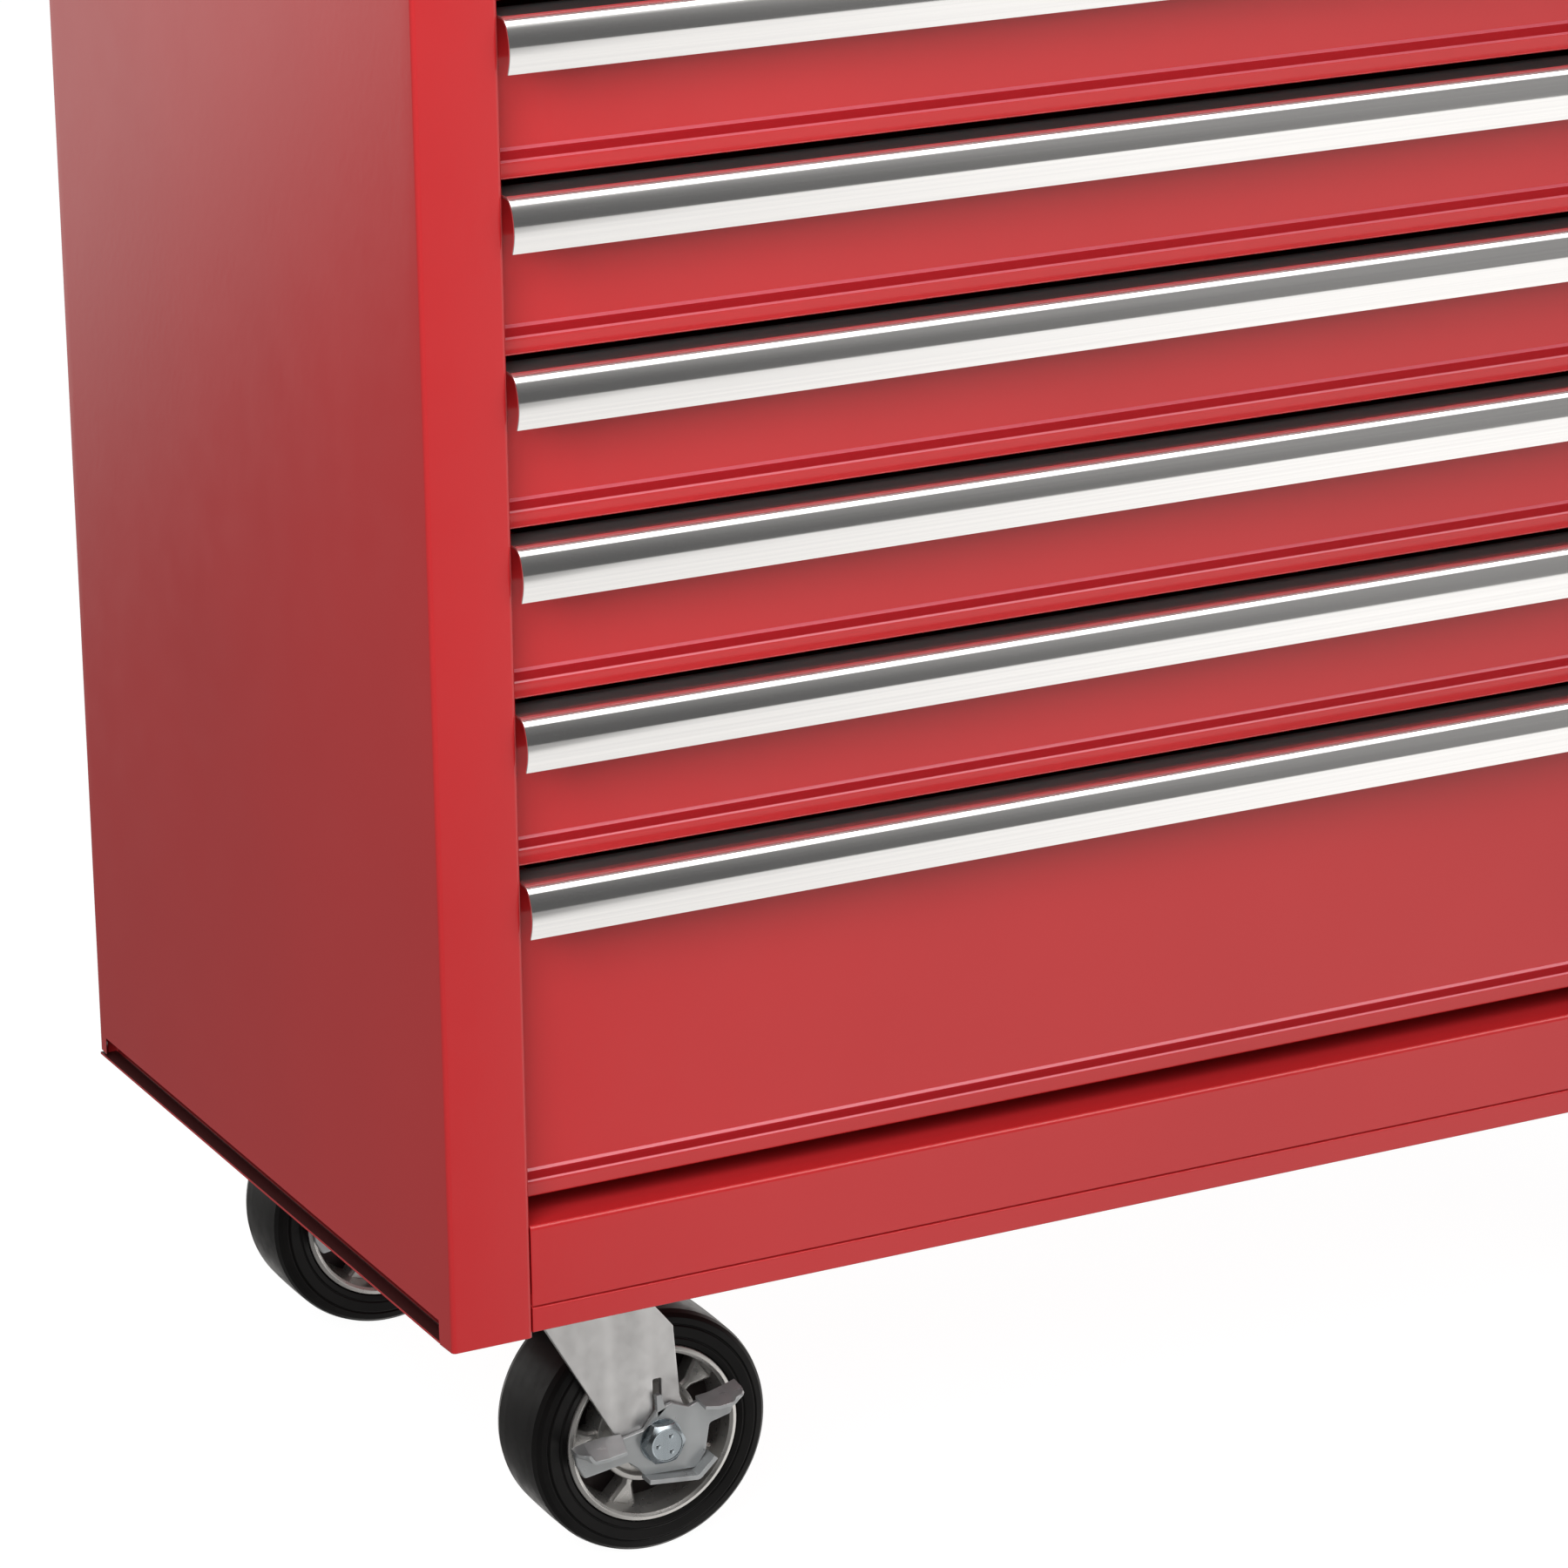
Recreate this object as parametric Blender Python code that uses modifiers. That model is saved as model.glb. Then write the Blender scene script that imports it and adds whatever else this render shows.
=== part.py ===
"""Rolling tool chest: a sheet-steel cabinet on four casters, with seven full-width drawers.

Lengths are in metres and +Z is up. The cabinet's front faces -Y. Most places are given in the
cabinet's own terms: x from its left face, y back from the plane of its front posts, and z up
from the underside of its base.
"""

import math

import bmesh
import bpy
from mathutils import Matrix, Vector

# Overall sizes
CABINET_WIDTH = 0.914
CABINET_DEPTH = 0.4572
CABINET_HEIGHT = 0.760
CASTER_HEIGHT = 0.1555
PULL_PROUD = 0.0085
HANDLE_PROUD = 0.052

# Sheet steel
SHEET = 0.0012
GAP = 0.0003
BEND = 0.0016

# Side panels, each folded round the front into a post
POST_WIDTH = 0.042
POST_RETURN = 0.020
BACK_HEM = 0.015
PANEL_DROP = 0.0027
SILL_HEIGHT = 0.0095
SILL_START = 0.015
CAP_SKIRT = 0.012

# Base pan
SILL_INSET = 0.008
PAN_WALL_HEIGHT = 0.025
PAN_BACK_GAP = 0.004
FRONT_LIP_HEIGHT = 0.0122

# Rails between the posts
RAIL_BOTTOM = 0.0138
RAIL_TOP = 0.054
RAIL_LEDGE = 0.045
RAIL_HEM = 0.010
TOP_RAIL_BOTTOM = 0.7185

# Drawers, numbered from the top
SHALLOW_COUNT = 6
SHALLOW_PITCH = 0.0815
DEEP_PITCH = 0.166
LOWEST_LIP = 0.0638
TRAVEL = 0.380
FRONT_RECESS = 0.013
FRONT_GAP = 0.002
FRONT_SHEET = 0.001
FRONT_HEM = 0.009
LIP_TO_PULL = 0.0046
RIB_HEIGHTS = (0.0075, 0.0129)
RIB_RADIUS = 0.0013
TRAY_DEPTH = 0.400
TRAY_WALL = 0.001
TRAY_FLOOR_RISE = 0.004
TRAY_TOP_DROP = 0.003

# Pulls: a flat top, then two arcs that turn it down and back under
PULL_INSET = 0.046
PULL_SHEET = 0.0012
PULL_ARC_START = 0.0005
PULL_ARCS = ((0.007, 0.0, 60.0), (0.022, 60.0, 110.0))
PULL_ARC_STEPS = 4
PULL_TAIL = 0.0039

# Ball-bearing slides
SLIDE_RISE = 0.038
SLIDE_FRONT = 0.024
SLIDE_LENGTH = 0.400
OUTER_HALF = 0.0175
OUTER_WEB = 0.0416
OUTER_EDGE = 0.0520
MIDDLE_HALF = 0.0146
MIDDLE_WEB = 0.0510
MIDDLE_EDGE = 0.0446
INNER_HALF = 0.011
INNER_FACE = 0.0522
TRAY_SIDE = 0.0553
UPRIGHT_FRONTS = (0.026, 0.395)
UPRIGHT_DEPTH = 0.026
UPRIGHT_FACE = 0.0420
UPRIGHT_BOTTOM = 0.030
UPRIGHT_TOP = 0.716

# Lock in the top rail
LOCK_X = 0.827
LOCK_Z = 0.7325
LOCK_RADIUS = 0.0095
LOCK_FLANGE = 0.0125
LOCK_PROUD = 0.0025
LOCK_DEPTH = 0.026
CAM_HALF_WIDTH = 0.005
CAM_LENGTH = 0.0135
CAM_SHEET = 0.0025
KEY_SLOT_HALF = (0.0007, 0.004, 0.0045)

# Push handle on the right side
HANDLE_RADIUS = 0.0125
HANDLE_HALF_LENGTH = 0.150
HANDLE_BEND = 0.024
HANDLE_Z = 0.690
HANDLE_Y = 0.2286
HANDLE_FOOT = 0.021

# Casters
SWIVEL_X = 0.094
TRAIL = 0.035
WHEEL_FRONT_Y = 0.077
WHEEL_REAR_Y = 0.402
WHEEL_SEGMENTS = 32
HUB_SEGMENTS = 24
TYRE_RADIUS = 0.064
TYRE_HALF_WIDTH = 0.0245
TYRE_SHOULDER = ((-0.0075, 0.0), (-0.0024, -0.0035), (0.0, -0.012))
RIM_RADIUS = 0.0462
RIM_HALF_WIDTH = 0.0235
BORE_RADIUS = 0.0055
HUB_RADIUS = 0.015
HUB_HALF_LENGTH = 0.0272
HUB_DISC_HALF = 0.006
RIM_WALL = 0.0035
WINDOW_INSET = 0.004
SPOKE_COUNT = 5
AXLE_RADIUS = 0.005
LEG_INNER = 0.0275
LEG_SHEET = 0.003
PLATE_HALF_X = 0.050
PLATE_HALF_Y = 0.0425
PLATE_SHEET = 0.004
RACE_RADIUS = 0.031
RACE_BOTTOM = 0.0123
RACE_CHAMFER = 0.003
KINGPIN_RADIUS = 0.007
KINGPIN_HEAD = 0.011
KINGPIN_HEAD_HEIGHT = 0.005
CROWN_TOP = 0.0126
CROWN_SHEET = 0.004
CROWN_HALF = 0.029
BOSS_RADIUS = 0.019
RIGID_LEG_HALF = 0.031
LEVER_SHEET = 0.003
PEDAL_REACH = 0.012
BOLT_HEAD_RADIUS = 0.0105
BOLT_HEAD_HEIGHT = 0.007
WASHER_GAP = 0.0003

LEFT_X = -(CABINET_WIDTH + HANDLE_PROUD) / 2
FRONT_Y = -(CABINET_DEPTH - PULL_PROUD) / 2
WHEEL_Z = TYRE_RADIUS * math.cos(math.pi / WHEEL_SEGMENTS) - CASTER_HEIGHT

TURN_FOR_PLANE = {
    "XY": Matrix.Identity(3),
    "XZ": Matrix(((1, 0, 0), (0, 0, -1), (0, 1, 0))),
    "YZ": Matrix(((0, 0, 1), (1, 0, 0), (0, 1, 0))),
}


def clear_scene():
    for item in list(bpy.data.objects):
        bpy.data.objects.remove(item, do_unlink=True)


def make_collection(name):
    group = bpy.data.collections.new(name)
    bpy.context.scene.collection.children.link(group)
    return group


def make_material(name, colour, roughness, metallic):
    material = bpy.data.materials.new(name)
    material.use_nodes = True
    shader = material.node_tree.nodes["Principled BSDF"]
    shader.inputs["Base Color"].default_value = (*colour, 1.0)
    shader.inputs["Roughness"].default_value = roughness
    shader.inputs["Metallic"].default_value = metallic
    material.diffuse_color = (*colour, 1.0)
    return material


def at(x, y, z):
    """A place in the cabinet's terms, as a place in the world."""
    return Vector((LEFT_X + x, FRONT_Y + y, CASTER_HEIGHT + z))


def across(side, x):
    """x on the left side, or its mirror image on the right."""
    return x if side == "left" else CABINET_WIDTH - x


def show(name, mesh, material, origin):
    piece = bpy.data.objects.new(name, mesh)
    piece.location = origin
    mesh.materials.clear()
    mesh.materials.append(material)
    parts.objects.link(piece)
    return piece


def box(name, low, high, material):
    """A box between two corners, with its origin at its centre."""
    low, high = at(*low), at(*high)
    size = high - low
    mesh = bpy.data.meshes.new(name)
    shape = bmesh.new()
    bmesh.ops.create_cube(shape, size=1.0)
    bmesh.ops.scale(shape, vec=[abs(length) for length in size], verts=shape.verts)
    shape.to_mesh(mesh)
    shape.free()
    return show(name, mesh, material, (low + high) / 2)


def cylinder(name, radius, centre, axis, length, material, segments=24):
    """A cylinder centred on a point in the cabinet's terms."""
    mesh = bpy.data.meshes.new(name)
    shape = bmesh.new()
    bmesh.ops.create_cone(
        shape, cap_ends=True, segments=segments, radius1=radius, radius2=radius, depth=length
    )
    swing = Vector((0, 0, 1)).rotation_difference(axis)
    bmesh.ops.rotate(shape, matrix=swing.to_matrix(), verts=shape.verts)
    shape.to_mesh(mesh)
    shape.free()
    return show(name, mesh, material, at(*centre))


def plate(name, outline, plane, low, high, material):
    """A flat outline in two of the axes, carried along the third from low to high."""
    curve = bpy.data.curves.new(name, "CURVE")
    curve.dimensions = "2D"
    curve.fill_mode = "BOTH"
    curve.extrude = abs(high - low) / 2
    middle = sum((Vector(point) for point in outline), Vector((0, 0))) / len(outline)
    spline = curve.splines.new("POLY")
    spline.points.add(len(outline) - 1)
    spline.use_cyclic_u = True
    for point, place in zip(spline.points, outline):
        point.co = (place[0] - middle.x, place[1] - middle.y, 0.0, 1.0)
    guide = bpy.data.objects.new(name + "_outline", curve)
    cutters.objects.link(guide)
    bpy.context.view_layer.update()
    mesh = bpy.data.meshes.new_from_object(guide.evaluated_get(bpy.context.evaluated_depsgraph_get()))
    bpy.data.objects.remove(guide, do_unlink=True)
    mesh.transform(TURN_FOR_PLANE[plane].to_4x4())
    weld(mesh)
    mesh.name = name
    centre = (low + high) / 2
    places = {
        "XY": (middle.x, middle.y, centre),
        "XZ": (middle.x, centre, middle.y),
        "YZ": (centre, middle.x, middle.y),
    }
    return show(name, mesh, material, at(*places[plane]))


def weld(mesh):
    shape = bmesh.new()
    shape.from_mesh(mesh)
    bmesh.ops.remove_doubles(shape, verts=shape.verts, dist=1e-6)
    bmesh.ops.recalc_face_normals(shape, faces=shape.faces)
    shape.to_mesh(mesh)
    shape.free()


def turned(name, profile, centre, axis, material, segments=WHEEL_SEGMENTS, phase=0.0):
    """A (radius, height) profile turned about an axis; it is closed unless it starts on the axis."""
    mesh = bpy.data.meshes.new(name)
    places = [
        (radius * math.cos(phase), radius * math.sin(phase), height) for radius, height in profile
    ]
    edges = [(index, index + 1) for index in range(len(places) - 1)]
    if profile[0][0] > 0.0:
        edges.append((len(places) - 1, 0))
    mesh.from_pydata(places, edges, [])
    piece = show(name, mesh, material, at(*centre))
    piece.rotation_mode = "QUATERNION"
    piece.rotation_quaternion = Vector((0, 0, 1)).rotation_difference(axis)
    screw = piece.modifiers.new("turned", "SCREW")
    screw.axis = "Z"
    screw.steps = segments
    screw.render_steps = segments
    screw.use_merge_vertices = True
    screw.merge_threshold = 1e-5
    screw.use_smooth_shade = True
    return piece


def smooth(mesh):
    mesh.shade_smooth()
    mesh.set_sharp_from_angle(angle=math.radians(35))


def change(piece, tool, operation):
    """Cuts a helper object out of a piece, or joins it on."""
    for group in list(tool.users_collection):
        group.objects.unlink(tool)
    cutters.objects.link(tool)
    tool.name = piece.name + "_" + tool.name
    tool.hide_render = True
    tool.display_type = "WIRE"
    modifier = piece.modifiers.new(tool.name, "BOOLEAN")
    modifier.operation = operation
    modifier.object = tool


def cut(piece, *tools):
    for tool in tools:
        change(piece, tool, "DIFFERENCE")


def join(piece, *tools):
    for tool in tools:
        change(piece, tool, "UNION")


def hang_on(pieces, name, origin):
    """Parents pieces to an empty on the axis that they turn about."""
    pivot = bpy.data.objects.new(name, None)
    pivot.location = origin
    parts.objects.link(pivot)
    for piece in pieces:
        piece.parent = pivot
        piece.location = piece.location - Vector(origin)
    return pivot


def folded(line, thickness):
    """The closed outline of a folded sheet whose outer line is given; the sheet lies to its right."""
    points = [Vector(point) for point in line]
    normals = []
    for start, end in zip(points, points[1:]):
        run = (end - start).normalized()
        normals.append(Vector((run.y, -run.x)))
    inner = []
    for index, point in enumerate(points):
        before = normals[max(index - 1, 0)]
        after = normals[min(index, len(normals) - 1)]
        inner.append(point + (before + after) * thickness / (1.0 + before.dot(after)))
    return [tuple(point) for point in points + inner[::-1]]


def arc(centre, radius, start, end, steps):
    """Points on an arc, in degrees from the first axis of its plane."""
    points = []
    for step in range(steps + 1):
        angle = math.radians(start + (end - start) * step / steps)
        points.append((centre[0] + radius * math.cos(angle), centre[1] + radius * math.sin(angle)))
    return points


def side_panel(side):
    """A side wall folded into the front post, its return and a hem at the back."""
    line = [(POST_WIDTH, POST_RETURN)]
    line += arc((POST_WIDTH - BEND, BEND), BEND, 0, -90, 3)
    line += arc((BEND, BEND), BEND, -90, -180, 3)
    line += [(0.0, CABINET_DEPTH), (BACK_HEM, CABINET_DEPTH)]
    outline = [(across(side, x), y) for x, y in folded(line, SHEET)]
    top = CABINET_HEIGHT - CAP_SKIRT - GAP
    panel = plate(side + "_side_panel", outline, "XY", -PANEL_DROP, top, red_paint)
    ends = sorted((across(side, -SHEET), across(side, BACK_HEM + SHEET)))
    notch = box(
        "sill_notch",
        (ends[0], SILL_START, -2 * PANEL_DROP),
        (ends[1], CABINET_DEPTH + SHEET, SILL_HEIGHT),
        red_paint,
    )
    cut(panel, notch)


def back_panel():
    back = CABINET_DEPTH - SHEET - GAP
    inset = SHEET + GAP
    box(
        "back_panel",
        (inset, back - SHEET, SHEET + GAP),
        (CABINET_WIDTH - inset, back, CABINET_HEIGHT - SHEET - GAP),
        red_paint,
    )


def top_panel():
    """A cap that closes the top, with a skirt turned down all round."""
    cap = box(
        "top_panel",
        (0.0, 0.0, CABINET_HEIGHT - CAP_SKIRT),
        (CABINET_WIDTH, CABINET_DEPTH, CABINET_HEIGHT),
        red_paint,
    )
    rounding = cap.modifiers.new("rounded_edges", "BEVEL")
    rounding.width = BEND
    rounding.segments = 2
    hollow = box(
        "inside",
        (SHEET, SHEET, CABINET_HEIGHT - 2 * CAP_SKIRT),
        (CABINET_WIDTH - SHEET, CABINET_DEPTH - SHEET, CABINET_HEIGHT - SHEET),
        red_paint,
    )
    cut(cap, hollow)


def base_pan():
    """The floor of the cabinet: a plate with a front lip, side walls and a lip below each side."""
    lip_end = POST_WIDTH + GAP
    notch_end = POST_RETURN + GAP
    rear = CABINET_DEPTH - PAN_BACK_GAP
    weld_line = SILL_INSET + SHEET / 2
    front_line = folded([(notch_end + SHEET, 0.0), (0.0, 0.0), (0.0, FRONT_LIP_HEIGHT)], SHEET)
    pan = plate("base_pan", front_line, "YZ", lip_end, CABINET_WIDTH - lip_end, red_paint)
    floor = box(
        "floor",
        (weld_line, notch_end, GAP),
        (CABINET_WIDTH - weld_line, rear, GAP + SHEET),
        red_paint,
    )
    join(pan, floor)
    for side in ("left", "right"):
        wall = (SILL_INSET, SILL_INSET + SHEET)
        line = [
            (wall[1], PAN_WALL_HEIGHT),
            (wall[0], PAN_WALL_HEIGHT),
            (wall[0], SHEET - PANEL_DROP),
            (0.0, SHEET - PANEL_DROP),
            (0.0, -PANEL_DROP),
            (wall[1], -PANEL_DROP),
        ]
        outline = [(across(side, x), z) for x, z in line]
        sill = plate(side + "_sill", outline, "XZ", SILL_START + 2 * GAP, rear - SHEET, red_paint)
        join(pan, sill)


def rail(name, bottom, top, ledge):
    """A rail between the posts: a face with a hem below and a ledge above."""
    line = [(RAIL_HEM, bottom), (0.0, bottom)]
    line += arc((BEND, top - BEND), BEND, 180, 90, 3)
    line += [(ledge, top)]
    inset = POST_WIDTH + GAP
    return plate(name, folded(line, SHEET), "YZ", inset, CABINET_WIDTH - inset, red_paint)


def bottom_rail():
    rail("bottom_rail", RAIL_BOTTOM, RAIL_TOP, RAIL_LEDGE)


def top_rail():
    face = rail("top_rail", TOP_RAIL_BOTTOM, CABINET_HEIGHT - CAP_SKIRT - GAP, POST_RETURN)
    bore = cylinder(
        "lock_bore", LOCK_RADIUS + GAP, (LOCK_X, 0.0, LOCK_Z), Vector((0, -1, 0)), RAIL_HEM, red_paint
    )
    cut(face, bore)


def lock_cylinder():
    """A key lock whose cam turns with it."""
    chamfer = 0.001
    profile = [
        (0.0, LOCK_PROUD),
        (LOCK_FLANGE - chamfer, LOCK_PROUD),
        (LOCK_FLANGE, LOCK_PROUD - chamfer),
        (LOCK_FLANGE, GAP),
        (LOCK_RADIUS, GAP),
        (LOCK_RADIUS, -LOCK_DEPTH),
        (0.0, -LOCK_DEPTH),
    ]
    centre = (LOCK_X, 0.0, LOCK_Z)
    lock = turned("lock_cylinder", profile, centre, Vector((0, -1, 0)), chrome, segments=24)
    cam = box(
        "cam",
        (LOCK_X - CAM_HALF_WIDTH, LOCK_DEPTH - 1.2 * CAM_SHEET, LOCK_Z - CAM_LENGTH),
        (LOCK_X + CAM_HALF_WIDTH, LOCK_DEPTH - 0.2 * CAM_SHEET, LOCK_Z),
        chrome,
    )
    half_x, half_y, half_z = KEY_SLOT_HALF
    slot = box(
        "key_slot",
        (LOCK_X - half_x, -half_y, LOCK_Z - half_z),
        (LOCK_X + half_x, half_y, LOCK_Z + half_z),
        chrome,
    )
    join(lock, cam)
    cut(lock, slot)


def push_handle():
    """A tube bent out from the right side at both ends, on two round feet."""
    reach = HANDLE_PROUD - HANDLE_RADIUS
    foot_x = CABINET_WIDTH + GAP
    path = [(foot_x + 0.001, -HANDLE_HALF_LENGTH)]
    corner = (CABINET_WIDTH + reach - HANDLE_BEND, HANDLE_BEND - HANDLE_HALF_LENGTH)
    path += arc(corner, HANDLE_BEND, -90, 0, 5)
    path += [(x, -y) for x, y in reversed(path)]
    curve = bpy.data.curves.new("push_handle", "CURVE")
    curve.dimensions = "3D"
    curve.bevel_depth = HANDLE_RADIUS
    curve.bevel_resolution = 2
    curve.use_fill_caps = True
    spline = curve.splines.new("POLY")
    spline.points.add(len(path) - 1)
    for point, (x, y) in zip(spline.points, path):
        point.co = (*(at(x, HANDLE_Y + y, HANDLE_Z) - at(CABINET_WIDTH, HANDLE_Y, HANDLE_Z)), 1.0)
    guide = bpy.data.objects.new("push_handle_path", curve)
    cutters.objects.link(guide)
    bpy.context.view_layer.update()
    mesh = bpy.data.meshes.new_from_object(guide.evaluated_get(bpy.context.evaluated_depsgraph_get()))
    bpy.data.objects.remove(guide, do_unlink=True)
    weld(mesh)
    smooth(mesh)
    handle = show("push_handle", mesh, chrome, at(CABINET_WIDTH, HANDLE_Y, HANDLE_Z))
    for name, y in (("front_foot", -HANDLE_HALF_LENGTH), ("rear_foot", HANDLE_HALF_LENGTH)):
        centre = (foot_x + LEG_SHEET / 2, HANDLE_Y + y, HANDLE_Z)
        join(handle, cylinder(name, HANDLE_FOOT, centre, Vector((1, 0, 0)), LEG_SHEET, chrome))


def drawer_levels():
    """The height of each drawer's lower edge and of its pull's top, from the top drawer down."""
    lips = [LOWEST_LIP]
    lips += [LOWEST_LIP + DEEP_PITCH + SHALLOW_PITCH * step for step in range(SHALLOW_COUNT)]
    tops = [lip - LIP_TO_PULL for lip in lips[1:]]
    tops.append(lips[-1] + SHALLOW_PITCH - LIP_TO_PULL)
    return list(zip(lips, tops))[::-1]


def slide_rack(side, levels):
    """Two uprights against the side wall, with the fixed channel of every slide welded on."""
    def upright(name, front):
        line = [
            (SHEET + GAP, front + UPRIGHT_DEPTH),
            (UPRIGHT_FACE, front + UPRIGHT_DEPTH),
            (UPRIGHT_FACE, front),
            (SHEET + GAP, front),
        ]
        outline = [(across(side, x), y) for x, y in folded(line, SHEET)]
        return plate(name, outline, "XY", UPRIGHT_BOTTOM, UPRIGHT_TOP, zinc)

    rack = upright(side + "_slide_rack", UPRIGHT_FRONTS[0])
    join(rack, upright("rear_upright", UPRIGHT_FRONTS[1]))
    for number, (lip, _) in enumerate(levels, start=1):
        middle = lip + SLIDE_RISE
        line = [
            (OUTER_EDGE, middle - OUTER_HALF),
            (OUTER_WEB, middle - OUTER_HALF),
            (OUTER_WEB, middle + OUTER_HALF),
            (OUTER_EDGE, middle + OUTER_HALF),
        ]
        outline = [(across(side, x), z) for x, z in folded(line, TRAY_WALL)]
        rear = SLIDE_FRONT + SLIDE_LENGTH
        join(rack, plate(f"channel_{number}", outline, "XZ", SLIDE_FRONT, rear, zinc))


def middle_slide(side, number, lip):
    """The member that runs between the fixed channel and the drawer, at half the drawer's pace."""
    middle = lip + SLIDE_RISE
    line = [
        (MIDDLE_EDGE, middle + MIDDLE_HALF),
        (MIDDLE_WEB, middle + MIDDLE_HALF),
        (MIDDLE_WEB, middle - MIDDLE_HALF),
        (MIDDLE_EDGE, middle - MIDDLE_HALF),
    ]
    outline = [(across(side, x), z) for x, z in folded(line, SHEET)]
    ends = (SLIDE_FRONT + 2 * SHEET, SLIDE_FRONT + SLIDE_LENGTH - 2 * SHEET)
    plate(f"drawer_{number}_{side}_slide", outline, "XZ", *ends, zinc)


def drawer_front_line(lip, top):
    """The outer line of a drawer front: hem, face with two pressed ribs, and top flange."""
    face = FRONT_RECESS
    flange = top - PULL_SHEET - GAP
    line = [(face + FRONT_HEM, lip), (face, lip)]
    for rise in RIB_HEIGHTS:
        line += arc((face, lip + rise), RIB_RADIUS, 270, 90, 4)
    return line + [(face, flange), (face + FRONT_HEM, flange)]


def drawer_tray(number, lip, top):
    """An open tray with its front, and the slide member fixed to each side."""
    far_side = CABINET_WIDTH - TRAY_SIDE
    front = FRONT_RECESS + 0.8 * FRONT_SHEET
    floor = lip + TRAY_FLOOR_RISE
    rim = top - TRAY_TOP_DROP
    tray = box(
        f"drawer_{number}_tray",
        (TRAY_SIDE, front, floor),
        (far_side, front + TRAY_DEPTH, rim),
        red_paint,
    )
    inside = box(
        "inside",
        (TRAY_SIDE + TRAY_WALL, front + TRAY_WALL, floor + TRAY_WALL),
        (far_side - TRAY_WALL, front + TRAY_DEPTH - TRAY_WALL, rim + TRAY_DEPTH),
        red_paint,
    )
    cut(tray, inside)
    face_inset = POST_WIDTH + FRONT_GAP
    outline = folded(drawer_front_line(lip, top), FRONT_SHEET)
    face = plate("front", outline, "YZ", face_inset, CABINET_WIDTH - face_inset, red_paint)
    join(tray, face)
    for side in ("left", "right"):
        ends = sorted((across(side, INNER_FACE), across(side, TRAY_SIDE + GAP)))
        middle = lip + SLIDE_RISE
        member = box(
            side + "_member",
            (ends[0], SLIDE_FRONT, middle - INNER_HALF),
            (ends[1], front + TRAY_DEPTH - TRAY_WALL, middle + INNER_HALF),
            zinc,
        )
        join(tray, member)


def drawer_pull(number, top):
    """A full-width polished pull that curls over the drawer front and ends in a free edge."""
    place = Vector((PULL_ARC_START, top))
    line = [(FRONT_RECESS + FRONT_HEM - SHEET, top), tuple(place)]
    for radius, start, end in PULL_ARCS:
        for step in range(PULL_ARC_STEPS):
            before = math.radians(start + (end - start) * step / PULL_ARC_STEPS)
            after = math.radians(start + (end - start) * (step + 1) / PULL_ARC_STEPS)
            place = place - radius * Vector(
                (math.sin(after) - math.sin(before), math.cos(before) - math.cos(after))
            )
            line.append(tuple(place))
    tail = math.radians(PULL_ARCS[-1][2])
    line.append(tuple(place - PULL_TAIL * Vector((math.cos(tail), math.sin(tail)))))
    outline = folded(line[::-1], PULL_SHEET)
    plate(f"drawer_{number}_pull", outline, "YZ", PULL_INSET, CABINET_WIDTH - PULL_INSET, chrome)


def drawers():
    levels = drawer_levels()
    for number, (lip, top) in enumerate(levels, start=1):
        drawer_tray(number, lip, top)
        drawer_pull(number, top)
        for side in ("left", "right"):
            middle_slide(side, number, lip)
    for side in ("left", "right"):
        slide_rack(side, levels)


def tyre(prefix, centre):
    side = [(RIM_RADIUS + GAP, TYRE_HALF_WIDTH)]
    side += [(TYRE_RADIUS + inward, TYRE_HALF_WIDTH + height) for inward, height in TYRE_SHOULDER]
    profile = side + [(radius, -height) for radius, height in reversed(side)]
    phase = math.pi / WHEEL_SEGMENTS
    return turned(prefix + "_tyre", profile, centre, Vector((0, -1, 0)), rubber, phase=phase)


def hub(prefix, centre):
    """A rim, a disc with spokes, and a boss with the axle's bore."""
    rim_inner = RIM_RADIUS - RIM_WALL
    top = [
        (BORE_RADIUS, HUB_HALF_LENGTH),
        (HUB_RADIUS - 0.003, HUB_HALF_LENGTH),
        (HUB_RADIUS, HUB_DISC_HALF),
        (rim_inner, HUB_DISC_HALF),
        (rim_inner, RIM_HALF_WIDTH),
        (RIM_RADIUS, RIM_HALF_WIDTH),
    ]
    profile = top + [(radius, -height) for radius, height in reversed(top)]
    axis = Vector((0, -1, 0))
    wheel = turned(prefix + "_hub", profile, centre, axis, aluminium, segments=HUB_SEGMENTS)
    inner = HUB_RADIUS + WINDOW_INSET
    outer = rim_inner - WINDOW_INSET
    turn = 360 / SPOKE_COUNT
    for spoke in range(SPOKE_COUNT):
        middle = 90 + turn * (spoke + 0.5)
        window = arc((centre[0], centre[2]), outer, middle - 0.34 * turn, middle + 0.34 * turn, 4)
        window += arc((centre[0], centre[2]), inner, middle + 0.24 * turn, middle - 0.24 * turn, 2)
        ends = (centre[1] - 2 * HUB_DISC_HALF, centre[1] + 2 * HUB_DISC_HALF)
        cut(wheel, plate(f"window_{spoke}", window, "XZ", *ends, aluminium))
    return wheel


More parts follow.
